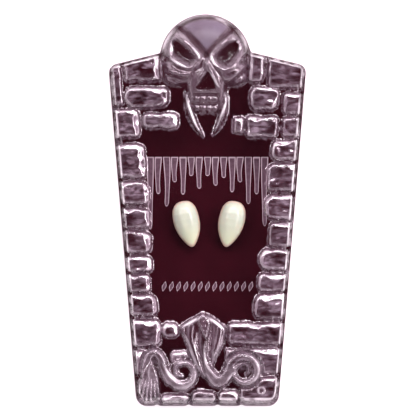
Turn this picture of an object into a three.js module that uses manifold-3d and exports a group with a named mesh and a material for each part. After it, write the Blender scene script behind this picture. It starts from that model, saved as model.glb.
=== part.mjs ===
// A pair of vampire fang caps on a coffin-shaped card, under one clear moulded cover.
// The pack lies on its back. The origin is the middle of the card's back face,
// +X is to the right, +Y is up the coffin towards the skull, and +Z comes out of the front.
// All sizes are in millimetres.
import * as THREE from "three";
import { mergeVertices } from "three/addons/utils/BufferGeometryUtils.js";
import Module from "manifold-3d";

const wasm = await Module();
wasm.setup();

// The coffin's outline
const packLength = 152; // from the foot edge to the crown of the skull
const shoulderHeight = 132; // from the foot edge to the shoulder corners
const shoulderWidth = 77;
const footWidth = 55;
const gableRise = 9.5; // how far the top edges would rise above the shoulders at the middle
const footCornerRadius = 4;
const shoulderCornerRadius = 3;

// The card and the cover's sheet
const cardThickness = 1;
const seatGap = 0.2; // between pieces that rest on each other
const sheetThickness = 0.9;
const flangeWidth = 0.8;
const flangeThickness = 0.8;
const wallLean = 0.19; // run of the side walls for each unit of height
const jointDepth = 1.2; // how far the wall stands back between two edge stones

// The stones' relief
const stoneRise = 3.2; // of the highest stones above the window
const stoneRun = 0.9; // how far a stone's side leans in on its way up
const stoneBevel = 0.6;
const narrowestShare = 0.3; // of a stone's side that its lean and bevel may take at each edge

// The fang caps
const fangLength = 18.2;
const fangWidth = 10.7;
const fangFrontDepth = 5; // from the widest line out to the front
const fangBackDepth = 2.6; // from the widest line back to the card side
const fangWall = 1.2;
const fangSpacing = 16.9; // between the two centres
const fangDrop = 5.5; // of the centres below the pack's middle
const fangOffset = 0.6; // of the pair's middle to the right of the pack's middle line
const fangTilt = 10; // degrees, each tip towards the middle
const fangHeadroom = 0.7; // between a fang's front and the window

// The skull
const skullRadius = 17;
const skullOffset = 0.8; // of the skull's centre to the left of the pack's middle line
const skullRise = 19.4; // from the cover's rim to the brow
const cheekShare = 0.64; // the skull's reach below its centre, as a share of its radius
const muzzleLength = 22.6; // from the skull's centre down to the chin
const muzzleRise = 6.6; // of the jaw above the window
const skullToothRise = 0.7;
const socketDepth = 6;
const socketRimRise = 1;
const socketRimWidth = 1.9; // from a socket's edge out to the foot of its raised rim
const browGrooveRadius = 0.8;
const noseDepth = 2.6;
const tuskRadius = 2.3;

// The serpent
const serpentHeight = 36.5; // from the foot edge to the top of the hood
const hoodRise = 2.6;
const bodyRadius = 2.6; // of the serpent's body at its thickest
const coilRadius = 5.4; // from a coil's centre to the middle of its outer turn
const coilPadRise = 0.5;

// The small round button in the foot corner
const buttonRadius = 1.35;
const buttonRise = 0.45;

// Levels and places worked out from the sizes above
const rimLevel = cardThickness + seatGap;
const fangLevel = cardThickness + seatGap;
const windowLevel = fangLevel + fangBackDepth + fangFrontDepth + fangHeadroom + sheetThickness;
const wallRun = wallLean * (windowLevel - rimLevel);
const footY = -packLength / 2;
const shoulderY = footY + shoulderHeight;
const skullY = packLength / 2 - flangeWidth - skullRadius;
const skullX = -skullOffset;
const below = sheetThickness; // how far a cutting solid starts under the face that it opens

// Half the coffin's width at a height, measured to the outline.
function halfWidthAt(y) {
  const share = (y - footY) / shoulderHeight;
  return (footWidth + (shoulderWidth - footWidth) * share) / 2;
}

// Joins rings of equally many points into one closed solid's geometry.
// Each ring runs counter-clockwise as seen from the last ring's side.
function loft(rings) {
  const sides = rings[0].length;
  const points = rings.flat().flatMap((p) => [p.x, p.y, p.z]);
  const faces = [];
  for (let r = 0; r + 1 < rings.length; r++) {
    for (let i = 0; i < sides; i++) {
      const next = (i + 1) % sides;
      const a = r * sides + i;
      const b = r * sides + next;
      faces.push(a, b, b + sides, a, b + sides, a + sides);
    }
  }
  const lastRing = (rings.length - 1) * sides;
  [rings[0], rings.at(-1)].forEach((ring, end) => {
    const centre = ring.reduce((sum, p) => sum.add(p), new THREE.Vector3()).divideScalar(sides);
    const hub = points.length / 3;
    points.push(centre.x, centre.y, centre.z);
    for (let i = 0; i < sides; i++) {
      const next = (i + 1) % sides;
      if (end === 0) faces.push(hub, next, i);
      else faces.push(hub, lastRing + i, lastRing + next);
    }
  });
  const geometry = new THREE.BufferGeometry();
  geometry.setAttribute("position", new THREE.Float32BufferAttribute(points, 3));
  geometry.setIndex(faces);
  return geometry;
}

function solidOf(geometry) {
  const bare = geometry.index ? geometry.toNonIndexed() : geometry.clone();
  bare.deleteAttribute("normal");
  bare.deleteAttribute("uv");
  const merged = mergeVertices(bare, 1e-4);
  return new wasm.Manifold(
    new wasm.Mesh({
      numProp: 3,
      vertProperties: merged.attributes.position.array,
      triVerts: new Uint32Array(merged.index.array),
    }),
  );
}

const joined = (solids) => solids.reduce((whole, piece) => whole.add(piece));

const atLevel = (ring, z) => ring.map((p) => new THREE.Vector3(p.x, p.y, z));

// A stack of flat rings, one for each [ring, level] pair, as a solid.
const stack = (levels) => solidOf(loft(levels.map(([ring, z]) => atLevel(ring, z))));

// A round tube of changing radius along a smooth curve through table rows of { at, radius }.
// Its rings stand upright, square to the curve's run in plan.
function tube(rows, sides, steps) {
  const curve = new THREE.CatmullRomCurve3(rows.map((row) => row.at), false, "centripetal");
  const rings = [];
  for (let s = 0; s <= steps; s++) {
    const share = s / steps;
    const centre = curve.getPoint(share);
    const along = curve.getTangent(share).setZ(0).normalize();
    const across = new THREE.Vector3(-along.y, along.x, 0);
    const place = share * (rows.length - 1);
    const row = Math.min(Math.floor(place), rows.length - 2);
    const radius = THREE.MathUtils.lerp(rows[row].radius, rows[row + 1].radius, place - row);
    rings.push(
      Array.from({ length: sides }, (_, i) => {
        const turn = (2 * Math.PI * (i + 0.5)) / sides;
        return centre
          .clone()
          .addScaledVector(across, radius * Math.cos(turn))
          .setZ(centre.z + radius * Math.sin(turn));
      }),
    );
  }
  const perLength = 5; // rings in each length, so that no length winds over itself
  const lengths = [];
  for (let first = 0; first < steps; first += perLength - 1) {
    lengths.push(solidOf(loft(rings.slice(first, first + perLength))));
  }
  return joined(lengths);
}

// The coffin's outline moved in by an inset, with its corners rounded.
function coffinRing(inset) {
  const sideSlope = (shoulderWidth - footWidth) / 2 / shoulderHeight;
  const topSlope = gableRise / (shoulderWidth / 2);
  const sideInset = inset * Math.hypot(1, sideSlope);
  const lowY = footY + inset;
  const peakY = shoulderY + gableRise - inset * Math.hypot(1, topSlope);
  const shoulderX = shoulderWidth / 2 - sideInset - sideSlope * (shoulderY - peakY);
  const cornerX = shoulderX / (1 + sideSlope * topSlope);
  const corners = [
    { x: -halfWidthAt(lowY) + sideInset, y: lowY, radius: footCornerRadius },
    { x: halfWidthAt(lowY) - sideInset, y: lowY, radius: footCornerRadius },
    { x: cornerX, y: peakY - topSlope * cornerX, radius: shoulderCornerRadius },
    { x: 0, y: peakY, radius: shoulderCornerRadius },
    { x: -cornerX, y: peakY - topSlope * cornerX, radius: shoulderCornerRadius },
  ];
  return roundedRing(corners, inset);
}

// Replaces each corner of a convex ring by a short arc.
function roundedRing(corners, inset) {
  const arcSteps = 3;
  const leastShare = 0.15; // of a corner's radius that is left, however far the ring moves in
  return corners.flatMap((corner, i) => {
    const here = new THREE.Vector2(corner.x, corner.y);
    const before = corners.at(i - 1);
    const after = corners[(i + 1) % corners.length];
    const toBefore = new THREE.Vector2(before.x, before.y).sub(here).normalize();
    const toAfter = new THREE.Vector2(after.x, after.y).sub(here).normalize();
    const half = Math.acos(toBefore.dot(toAfter)) / 2;
    const radius = Math.max(corner.radius - inset, leastShare * corner.radius);
    const reach = radius / Math.tan(half);
    const curve = new THREE.QuadraticBezierCurve(
      here.clone().addScaledVector(toBefore, reach),
      here,
      here.clone().addScaledVector(toAfter, reach),
    );
    return curve.getPoints(arcSteps);
  });
}

// The skull's outline: round above its centre and squarer below, where the cheeks are.
function skullRing(radius, points) {
  const squareness = 3;
  return Array.from({ length: points }, (_, i) => {
    const turn = (2 * Math.PI * i) / points;
    const c = Math.cos(turn);
    const s = Math.sin(turn);
    if (s >= 0) return new THREE.Vector2(skullX + radius * c, skullY + radius * s);
    const reach = (Math.abs(c) ** squareness + Math.abs(s) ** squareness) ** (-1 / squareness);
    return new THREE.Vector2(skullX + radius * reach * c, skullY + cheekShare * radius * reach * s);
  });
}

// How high the cranium stands, as a share of its rise, at a share of the way out to its edge.
const domeShare = (out) => (1 - Math.min(out, 1) ** 2.2) ** 0.55;

// The cranium's level at a point given from the skull's centre.
function domeLevel(x, y) {
  const down = y < 0 ? y / cheekShare : y;
  return rimLevel + skullRise * domeShare(Math.hypot(x, down) / skullRadius);
}

// The card's and the flange's plan: the coffin joined to the skull's outline.
function packPlate(low, high) {
  const skullSides = 28;
  const coffin = coffinRing(0);
  const skull = skullRing(skullRadius + flangeWidth, skullSides);
  return stack([[coffin, low], [coffin, high]]).add(stack([[skull, low], [skull, high]]));
}

// The stones, as seen from the front. across runs from -1 at the left wall to 1 at the right wall,
// and up from 0 at the foot wall to 1 at the top wall. cut is the size of the corner cuts as a share
// of the stone's shorter side, and rise its height as a share of the highest stone's.
const stones = [
  { name: "top left strip", left: -1, right: -0.925, low: 0.88, high: 1, cut: 0.25, rise: 0.72 },
  { name: "top left", left: -0.9, right: -0.5, low: 0.95, high: 1, cut: 0.12, rise: 1 },
  { name: "second left", left: -0.92, right: -0.42, low: 0.872, high: 0.936, cut: 0.3, rise: 1 },
  { name: "third left", left: -1, right: -0.76, low: 0.784, high: 0.871, cut: 0.22, rise: 0.94 },
  { name: "third left bar", left: -0.73, right: -0.32, low: 0.812, high: 0.86, cut: 0.22, rise: 0.86 },
  { name: "left 1", left: -1, right: -0.71, low: 0.667, high: 0.769, cut: 0.16, rise: 0.95 },
  { name: "left 2", left: -1, right: -0.69, low: 0.59, high: 0.66, cut: 0.26, rise: 1 },
  { name: "left 3", left: -1, right: -0.7, low: 0.522, high: 0.583, cut: 0.2, rise: 0.9 },
  { name: "left 4", left: -1, right: -0.7, low: 0.449, high: 0.518, cut: 0.32, rise: 1 },
  { name: "left 5", left: -1, right: -0.7, low: 0.394, high: 0.444, cut: 0.25, rise: 0.88 },
  { name: "left 6", left: -1, right: -0.75, low: 0.334, high: 0.389, cut: 0.2, rise: 0.8 },
  { name: "left 7", left: -1, right: -0.66, low: 0.264, high: 0.331, cut: 0.32, rise: 1 },
  { name: "left 8", left: -1, right: -0.64, low: 0.177, high: 0.26, cut: 0.22, rise: 0.94 },
  { name: "left wedge", left: -0.64, right: -0.39, low: 0.203, high: 0.25, cut: 0.3, rise: 0.75 },
  { name: "left 9", left: -1, right: -0.82, low: 0.093, high: 0.17, cut: 0.2, rise: 0.62 },
  { name: "ledge", left: -0.53, right: -0.21, low: 0.129, high: 0.167, cut: 0.25, rise: 0.5 },
  { name: "foot left", left: -1, right: -0.72, low: 0, high: 0.085, cut: 0.3, rise: 0.8 },
  { name: "foot 1", left: -0.71, right: -0.27, low: 0, high: 0.042, cut: 0.3, rise: 0.72 },
  { name: "foot 2", left: -0.26, right: 0.13, low: 0, high: 0.05, cut: 0.28, rise: 0.8 },
  { name: "foot 3", left: 0.16, right: 0.47, low: 0, high: 0.052, cut: 0.25, rise: 0.75 },
  { name: "foot right", left: 0.49, right: 1, low: 0, high: 0.091, cut: 0.25, rise: 0.85 },
  { name: "right 9", left: 0.78, right: 1, low: 0.1, high: 0.173, cut: 0.22, rise: 0.62 },
  { name: "right 8", left: 0.28, right: 1, low: 0.182, high: 0.25, cut: 0.16, rise: 0.95 },
  { name: "right 7", left: 0.62, right: 1, low: 0.258, high: 0.334, cut: 0.24, rise: 0.96 },
  { name: "right 6", left: 0.66, right: 1, low: 0.338, high: 0.392, cut: 0.24, rise: 0.82 },
  { name: "right 5", left: 0.66, right: 1, low: 0.397, high: 0.464, cut: 0.34, rise: 1 },
  { name: "right 4", left: 0.76, right: 1, low: 0.467, high: 0.542, cut: 0.16, rise: 0.85 },
  { name: "right 3", left: 0.69, right: 1, low: 0.546, high: 0.622, cut: 0.3, rise: 1 },
  { name: "right 2", left: 0.7, right: 1, low: 0.628, high: 0.713, cut: 0.2, rise: 0.96 },
  { name: "right 1", left: 0.72, right: 1, low: 0.718, high: 0.782, cut: 0.3, rise: 0.94 },
  { name: "third right edge", left: 0.84, right: 1, low: 0.786, high: 0.848, cut: 0.2, rise: 0.85 },
  { name: "third right", left: 0.43, right: 0.81, low: 0.786, high: 0.851, cut: 0.18, rise: 0.98 },
  { name: "third right end", left: 0.28, right: 0.42, low: 0.796, high: 0.848, cut: 0.22, rise: 0.82 },
  { name: "second right edge", left: 0.83, right: 1, low: 0.853, high: 0.92, cut: 0.2, rise: 0.85 },
  { name: "second right", left: 0.46, right: 0.79, low: 0.865, high: 0.938, cut: 0.26, rise: 1 },
  { name: "top right", left: 0.64, right: 1, low: 0.93, high: 1, cut: 0.22, rise: 1 },
  { name: "top right small", left: 0.44, right: 0.61, low: 0.947, high: 1, cut: 0.18, rise: 0.9 },
];

// A point of the stones' chart, on the level of the window, where the walls have leaned in.
function chartPoint(across, up) {
  const wallInset = flangeWidth + wallRun;
  const topWall = shoulderY + gableRise * (1 - Math.abs(across)) - wallInset;
  const charted = footY + up * shoulderHeight;
  const y = up >= 1 ? topWall : Math.max(charted, footY + wallInset);
  return new THREE.Vector2(across * (halfWidthAt(y) - wallInset), y);
}

// A stone's outline as eight points, each side moved in by an inset.
function stoneRing(stone, inset) {
  const corners = [
    [stone.left, stone.low, 1, 1],
    [stone.right, stone.low, -1, 1],
    [stone.right, stone.high, -1, -1],
    [stone.left, stone.high, 1, -1],
  ].map(([across, up, inX, inY]) => ({ at: chartPoint(across, up), inX, inY }));
  const wide = corners[1].at.x - corners[0].at.x;
  const tall = Math.min(corners[3].at.y - corners[0].at.y, corners[2].at.y - corners[1].at.y);
  const moveX = Math.min(inset, narrowestShare * wide);
  const moveY = Math.min(inset, narrowestShare * tall);
  const moved = corners.map(
    ({ at, inX, inY }) => new THREE.Vector2(at.x + inX * moveX, at.y + inY * moveY),
  );
  const cut = stone.cut * Math.min(wide - 2 * moveX, tall - 2 * moveY);
  return moved.flatMap((corner, i) => {
    const towards = (other) => other.clone().sub(corner).normalize().multiplyScalar(cut).add(corner);
    return [towards(moved.at(i - 1)), towards(moved[(i + 1) % 4])];
  });
}

function stoneBlock(stone) {
  const top = windowLevel + stone.rise * stoneRise;
  return stack([
    [stoneRing(stone, -wallRun), rimLevel],
    [stoneRing(stone, 0), windowLevel],
    [stoneRing(stone, stoneRun), top - stoneBevel],
    [stoneRing(stone, stoneRun + stoneBevel), top],
  ]);
}

// The hollow behind a stone.
function stoneHollow(stone) {
  const top = windowLevel + stone.rise * stoneRise - sheetThickness;
  return stack([
    [stoneRing(stone, sheetThickness - wallRun), rimLevel - below],
    [stoneRing(stone, sheetThickness), windowLevel - sheetThickness],
    [stoneRing(stone, stoneRun + sheetThickness), top],
  ]);
}

// The skull's sockets, as points from the skull's centre in shares of its radius,
// and the centre of each.
const socketOutline = [
  { x: 0.25, y: -0.08 }, { x: 0.37, y: -0.19 }, { x: 0.55, y: -0.11 }, { x: 0.71, y: 0.05 },
  { x: 0.73, y: 0.22 }, { x: 0.62, y: 0.4 }, { x: 0.45, y: 0.26 }, { x: 0.3, y: 0.08 },
];
const socketCentre = { x: 0.5, y: 0.08 };

// One socket's outline, swollen about its centre by a length, on the right (1) or the left (-1).
function socketRing(side, swell, levelOf) {
  const ring = socketOutline.map((point) => {
    const fromCentre = new THREE.Vector2(point.x - socketCentre.x, point.y - socketCentre.y);
    const reach = 1 + swell / (fromCentre.length() * skullRadius);
    const x = side * (socketCentre.x + fromCentre.x * reach) * skullRadius;
    const y = (socketCentre.y + fromCentre.y * reach) * skullRadius;
    return new THREE.Vector3(skullX + x, skullY + y, levelOf(x, y));
  });
  return side > 0 ? ring : ring.reverse();
}

// The muzzle, as sections down from the skull's centre. down is a share of the muzzle's length, half a
// share of the skull's radius, and rise a share of the muzzle's height above the window.
const muzzleSections = [
  { down: 0.12, half: 0.34, rise: 1.35 },
  { down: 0.4, half: 0.54, rise: 1.25 },
  { down: 0.56, half: 0.48, rise: 1.1 },
  { down: 0.68, half: 0.35, rise: 0.98 },
  { down: 0.94, half: 0.31, rise: 0.76 },
  { down: 1, half: 0.26, rise: 0.5 },
];

function muzzle(thinner) {
  const arcPoints = 9;
  return solidOf(
    loft(
      muzzleSections.map((section) => {
        const half = section.half * skullRadius - thinner;
        const rise = section.rise * muzzleRise + (windowLevel - rimLevel) - thinner;
        const y = skullY - section.down * muzzleLength + (section.down > 0.5 ? thinner : 0);
        return Array.from({ length: arcPoints }, (_, i) => {
          const turn = (Math.PI * i) / (arcPoints - 1);
          const out = Math.sign(Math.cos(turn)) * Math.abs(Math.cos(turn)) ** 0.7;
          const up = Math.abs(Math.sin(turn)) ** 0.6;
          return new THREE.Vector3(skullX + half * out, y, rimLevel + rise * up);
        });
      }),
    ),
  );
}

// The long fangs of the skull, as points from its centre. across is a share of the skull's radius,
// down a share of the muzzle's length, and size a share of the tusk's radius.
const tuskPath = [
  { across: 0.4, down: 0.6, size: 0.9 },
  { across: 0.39, down: 0.76, size: 1 },
  { across: 0.35, down: 0.98, size: 0.86 },
  { across: 0.25, down: 1.2, size: 0.6 },
  { across: 0.1, down: 1.36, size: 0.22 },
];

function tusk(side) {
  const rows = tuskPath.map(({ across, down, size }) => ({
    at: new THREE.Vector3(
      skullX + side * across * skullRadius,
      skullY - down * muzzleLength,
      windowLevel + 0.5 * size * tuskRadius,
    ),
    radius: size * tuskRadius,
  }));
  return tube(rows, 7, 7);
}

// Four teeth in each of two rows across the jaw.
function skullTeeth() {
  const rows = [
    { down: 0.735, tall: 0.115, level: 0.94 },
    { down: 0.87, tall: 0.115, level: 0.84 },
  ];
  const perRow = 4;
  const pitch = 0.125 * skullRadius;
  return rows.flatMap((row) =>
    Array.from({ length: perRow }, (_, i) => {
      const x = skullX + (i - (perRow - 1) / 2) * pitch;
      const y = skullY - row.down * muzzleLength;
      const ring = (share) => {
        const w = 0.5 * share * pitch;
        const h = 0.5 * share * row.tall * muzzleLength;
        return [
          new THREE.Vector2(x - w, y - h),
          new THREE.Vector2(x + w, y - h),
          new THREE.Vector2(x + w, y + h),
          new THREE.Vector2(x - w, y + h),
        ];
      };
      const top = windowLevel + row.level * muzzleRise + skullToothRise;
      return stack([[ring(0.9), windowLevel], [ring(0.86), top - 0.4 * skullToothRise], [ring(0.6), top]]);
    }),
  );
}

// The grooves that run down each side of the brow to the bridge of the nose.
const browGroove = [
  { x: 0.62, y: 0.7 },
  { x: 0.37, y: 0.44 },
  { x: 0.11, y: 0.14 },
];

function browCut(side, thicker) {
  const rows = browGroove.map(({ x, y }) => {
    const at = new THREE.Vector3(skullX + side * x * skullRadius, skullY + y * skullRadius, 0);
    at.z = domeLevel(x * skullRadius, y * skullRadius) + 0.3 * browGrooveRadius;
    return { at, radius: browGrooveRadius + thicker };
  });
  return tube(rows, thicker ? 4 : 6, 3);
}

// The three-cornered hollow of the nose, in shares of the skull's radius from its centre.
function noseCut(wider) {
  const corners = [
    { x: 0, y: -0.22, end: 1 },
    { x: -0.25, y: -0.72, end: -1 },
    { x: 0.25, y: -0.72, end: -1 },
  ];
  const ring = (swell) =>
    corners.map(({ x, y, end }) => {
      const across = x * (1 + swell);
      const up = y + 0.06 * end * swell;
      return new THREE.Vector2(skullX + across * skullRadius, skullY + up * skullRadius);
    });
  const floor = windowLevel + 1.2 * muzzleRise - noseDepth - wider;
  const spread = (5 * wider) / skullRadius;
  return stack([[ring(spread - 0.45), floor], [ring(spread), rimLevel + skullRise + below]]);
}

// The skull's form, or the hollow behind it when thinner is the sheet's thickness.
function skullForm(thinner) {
  const domeRings = thinner ? [1, 0.9, 0.65, 0.3] : [1, 0.97, 0.9, 0.78, 0.6, 0.36, 0.12];
  const domeSides = thinner ? 16 : 24;
  const dome = stack(
    domeRings.map((out, i) => [
      skullRing((skullRadius - thinner) * out, domeSides),
      i === 0 && thinner ? rimLevel - below : rimLevel + (skullRise - thinner) * domeShare(out),
    ]),
  );
  const socketFloor = domeLevel(socketCentre.x * skullRadius, socketCentre.y * skullRadius) - socketDepth;
  const pieces = [dome, muzzle(thinner)];
  const cuts = [noseCut(thinner)];
  for (const side of [-1, 1]) {
    if (!thinner) {
      pieces.push(
        solidOf(
          loft([
            socketRing(side, 1.25 * socketRimWidth, () => windowLevel),
            socketRing(side, socketRimWidth, (x, y) => domeLevel(x, y)),
            socketRing(side, 0.5 * socketRimWidth, (x, y) => domeLevel(x, y) + socketRimRise),
          ]),
        ),
      );
      pieces.push(tusk(side));
    }
    cuts.push(
      solidOf(
        loft([
          socketRing(side, thinner - 0.85 * socketRimWidth, () => socketFloor - thinner),
          socketRing(side, thinner + 0.1 * socketRimWidth, (x, y) => domeLevel(x, y) + socketRimRise),
          socketRing(side, thinner + 0.1 * socketRimWidth, () => rimLevel + skullRise + socketDepth),
        ]),
      ),
    );
    cuts.push(browCut(side, thinner));
  }
  const form = joined(pieces).subtract(joined(cuts));
  return thinner ? form : joined([form, ...skullTeeth()]);
}

// A point of the serpent's chart: across in shares of half the foot's width,
// and up in shares of the serpent's height.
function serpentPoint({ across, up }, level) {
  return new THREE.Vector3((across * footWidth) / 2, footY + up * serpentHeight, level);
}

const hoodOutline = [
  { across: -0.12, up: 0.39 }, { across: 0.07, up: 0.39 }, { across: 0.12, up: 0.55 },
  { across: 0.21, up: 0.67 }, { across: 0.26, up: 0.82 }, { across: 0.12, up: 0.94 },
  { across: -0.04, up: 1 }, { across: -0.23, up: 0.94 }, { across: -0.4, up: 0.86 },
  { across: -0.35, up: 0.75 }, { across: -0.27, up: 0.61 },
];
const hoodCentre = { across: -0.06, up: 0.7 };
const headCentre = { across: -0.05, up: 0.89 };

// The neck as it leaves the head, turns at the foot and enters the right coil.
// size is a share of bodyRadius.
const neckPath = [
  { across: -0.05, up: 0.84, size: 0.6 },
  { across: -0.05, up: 0.7, size: 0.72 },
  { across: -0.02, up: 0.52, size: 0.95 },
  { across: 0.05, up: 0.38, size: 1.02 },
  { across: 0.15, up: 0.3, size: 1 },
  { across: 0.24, up: 0.32, size: 0.98 },
  { across: 0.32, up: 0.43, size: 0.92 },
];
const rightCoil = {
  across: 0.5, up: 0.39, start: 118, turn: -560,
  reach: 1.04, startSize: 0.86, endSize: 0.34,
};

// The tail from its tip at the left wall, over its arch and into the left coil.
const tailPath = [
  { across: -0.83, up: 0.19, size: 0.95 },
  { across: -0.87, up: 0.35, size: 0.84 },
  { across: -0.86, up: 0.47, size: 0.7 },
  { across: -0.8, up: 0.55, size: 0.66 },
  { across: -0.72, up: 0.56, size: 0.68 },
  { across: -0.65, up: 0.49, size: 0.76 },
  { across: -0.63, up: 0.38, size: 0.84 },
  { across: -0.59, up: 0.28, size: 0.86 },
];
const leftCoil = {
  across: -0.35, up: 0.335, start: 228, turn: 440,
  reach: 0.94, startSize: 0.84, endSize: 0.4,
};

// The rows of a path that runs through its table and then winds into its coil.
function serpentRows(path, coil) {
  const rows = path.map((row) => ({ at: serpentPoint(row, 0), radius: row.size * bodyRadius }));
  const centre = serpentPoint(coil, 0);
  const coilSteps = 13;
  const innerShare = 0.2; // of the coil's radius, at the spiral's end
  for (let i = 0; i <= coilSteps; i++) {
    const share = i / coilSteps;
    const turn = THREE.MathUtils.degToRad(coil.start + coil.turn * share);
    const reach = coil.reach * coilRadius * THREE.MathUtils.lerp(1, innerShare, share);
    rows.push({
      at: new THREE.Vector3(centre.x + reach * Math.cos(turn), centre.y + reach * Math.sin(turn), 0),
      radius: bodyRadius * THREE.MathUtils.lerp(coil.startSize, coil.endSize, share),
    });
  }
  return rows;
}

// The serpent's body raised out of the window, or the hollow behind its thick part.
function serpentBody(path, coil, thinner) {
  const liftShare = 0.25; // of the radius, from the window up to the body's middle line
  const rows = serpentRows(path, coil).map(({ at, radius }) => ({
    at: at.clone().setZ(windowLevel + liftShare * radius - 0.5 * thinner),
    radius: radius - thinner,
  }));
  const kept = thinner ? rows.slice(0, path.length + 5) : rows;
  return tube(kept, thinner ? 5 : 7, Math.round((thinner ? 1 : 1.3) * kept.length));
}

function hood(thinner) {
  const centre = serpentPoint(hoodCentre, 0);
  const ring = (share, lift) =>
    hoodOutline.map((row) => {
      const at = serpentPoint(row, 0).sub(centre);
      const reach = share - thinner / at.length();
      return at.multiplyScalar(Math.max(reach, 0.1)).add(centre).setZ(windowLevel + lift);
    });
  const foot = thinner ? ring(1, -thinner - below) : ring(1.03, -sheetThickness / 2);
  const brim = ring(0.94, (thinner ? 0.5 : 0.6) * hoodRise - thinner);
  return solidOf(loft([foot, brim, ring(0.6, hoodRise - thinner)]));
}

function serpentHead() {
  const sphere = new THREE.SphereGeometry(1, 10, 8);
  const at = serpentPoint(headCentre, windowLevel + hoodRise);
  sphere.scale(bodyRadius, 1.9 * bodyRadius, 0.7 * bodyRadius);
  sphere.translate(at.x, at.y, at.z);
  return solidOf(sphere);
}

// The low round pad that fills the grooves between a coil's turns.
function coilPad(coil) {
  const centre = serpentPoint(coil, 0);
  const sides = 12;
  const ring = Array.from({ length: sides }, (_, i) => {
    const turn = (2 * Math.PI * i) / sides;
    const reach = 0.85 * coil.reach * coilRadius;
    return new THREE.Vector2(centre.x + reach * Math.cos(turn), centre.y + reach * Math.sin(turn));
  });
  return stack([[ring, windowLevel - sheetThickness / 2], [ring, windowLevel + coilPadRise]]);
}

function serpentForm(thinner) {
  const pieces = [
    hood(thinner),
    serpentBody(neckPath, rightCoil, thinner),
    serpentBody(tailPath, leftCoil, thinner),
  ];
  if (!thinner) pieces.push(serpentHead(), coilPad(leftCoil), coilPad(rightCoil));
  return joined(pieces);
}

function cornerButton() {
  const corner = stones.find((stone) => stone.name === "foot right");
  const at = chartPoint(corner.right * 0.79, 0.046);
  const top = windowLevel + corner.rise * stoneRise;
  const sides = 12;
  const button = new THREE.CylinderGeometry(buttonRadius * 0.8, buttonRadius, 2 * buttonRise, sides);
  button.rotateX(Math.PI / 2);
  button.translate(at.x, at.y, top);
  return solidOf(button);
}

function coverSolid() {
  const blockInset = flangeWidth + jointDepth;
  const hollowInset = blockInset + sheetThickness;
  const outside = joined([
    packPlate(rimLevel, rimLevel + flangeThickness),
    stack([
      [coffinRing(blockInset), rimLevel],
      [coffinRing(blockInset + wallRun), windowLevel],
    ]),
    ...stones.map(stoneBlock),
    skullForm(0),
    serpentForm(0),
    cornerButton(),
  ]);
  const hollow = joined([
    stack([
      [coffinRing(hollowInset), rimLevel - below],
      [coffinRing(hollowInset + wallRun), windowLevel - sheetThickness],
    ]),
    ...stones.map(stoneHollow),
    skullForm(sheetThickness),
    serpentForm(sheetThickness),
  ]);
  return outside.subtract(hollow);
}

// The fang cap's sections from the gum end to the tip. along is a share of its length, half a share of
// half its width, front and back shares of its two depths, and bow how far the middle line moves
// towards the other fang, as a share of the width.
const fangSections = [
  { along: 0, half: 0.3, front: 0.2, back: 0.3, bow: 0 },
  { along: 0.03, half: 0.53, front: 0.44, back: 0.52, bow: 0 },
  { along: 0.08, half: 0.74, front: 0.64, back: 0.76, bow: 0 },
  { along: 0.16, half: 0.91, front: 0.84, back: 0.93, bow: 0 },
  { along: 0.27, half: 1, front: 0.97, back: 1, bow: 0 },
  { along: 0.4, half: 0.99, front: 1, back: 1, bow: 0.01 },
  { along: 0.54, half: 0.88, front: 0.94, back: 0.94, bow: 0.02 },
  { along: 0.67, half: 0.71, front: 0.78, back: 0.82, bow: 0.03 },
  { along: 0.79, half: 0.51, front: 0.57, back: 0.64, bow: 0.035 },
  { along: 0.89, half: 0.31, front: 0.36, back: 0.44, bow: 0.035 },
  { along: 0.96, half: 0.16, front: 0.2, back: 0.27, bow: 0.03 },
  { along: 1, half: 0.06, front: 0.08, back: 0.12, bow: 0.03 },
];

// The socket for the wearer's tooth, from beyond the gum end inwards. floor is the share of the back
// depth at which the socket's floor lies; a floor below 0 opens the back of the cap.
const socketSections = [
  { along: -0.05, half: 0.42, front: 0.3, floor: -0.3 },
  { along: 0.05, half: 0.66, front: 0.52, floor: -0.3 },
  { along: 0.14, half: 0.88, front: 0.8, floor: -0.3 },
  { along: 0.28, half: 1, front: 0.97, floor: -0.3 },
  { along: 0.38, half: 0.98, front: 0.98, floor: -0.3 },
  { along: 0.47, half: 0.88, front: 0.9, floor: 0.2 },
  { along: 0.58, half: 0.64, front: 0.64, floor: 0.66 },
];

// side is 1 for the fang whose tip points to +X, and -1 for the other.
function fangSolid(side) {
  const sides = 16;
  const y = (along) => (0.5 - along) * fangLength;
  const outer = loft(
    fangSections.map(({ along, half, front, back, bow }) =>
      Array.from({ length: sides }, (_, i) => {
        const turn = (2 * Math.PI * i) / sides;
        const depth = Math.sin(turn) > 0 ? front * fangFrontDepth : back * fangBackDepth;
        return new THREE.Vector3(
          side * bow * fangWidth + (half * fangWidth * Math.cos(turn)) / 2,
          y(along),
          fangBackDepth + depth * Math.sin(turn),
        );
      }),
    ),
  );
  const arcPoints = 9;
  const socket = loft(
    socketSections.map(({ along, half, front, floor }) => {
      const across = (half * fangWidth) / 2 - fangWall;
      const roof = fangBackDepth + front * fangFrontDepth - fangWall;
      const base = floor * fangBackDepth;
      return Array.from({ length: arcPoints }, (_, i) => {
        const turn = (Math.PI * i) / (arcPoints - 1);
        return new THREE.Vector3(
          across * Math.sign(Math.cos(turn)) * Math.abs(Math.cos(turn)) ** 0.6,
          y(along),
          base + (roof - base) * Math.sin(turn) ** 0.6,
        );
      });
    }),
  );
  return solidOf(outer).subtract(solidOf(socket));
}

const clearPlastic = new THREE.MeshStandardMaterial({
  color: 0xd8ccd8,
  roughness: 0.08,
  metalness: 0,
  transparent: true,
  opacity: 0.35,
});
const maroonCard = new THREE.MeshStandardMaterial({ color: 0x3a0f18, roughness: 0.55, metalness: 0 });
const ivoryAcrylic = new THREE.MeshStandardMaterial({ color: 0xece9cf, roughness: 0.22, metalness: 0 });

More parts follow.
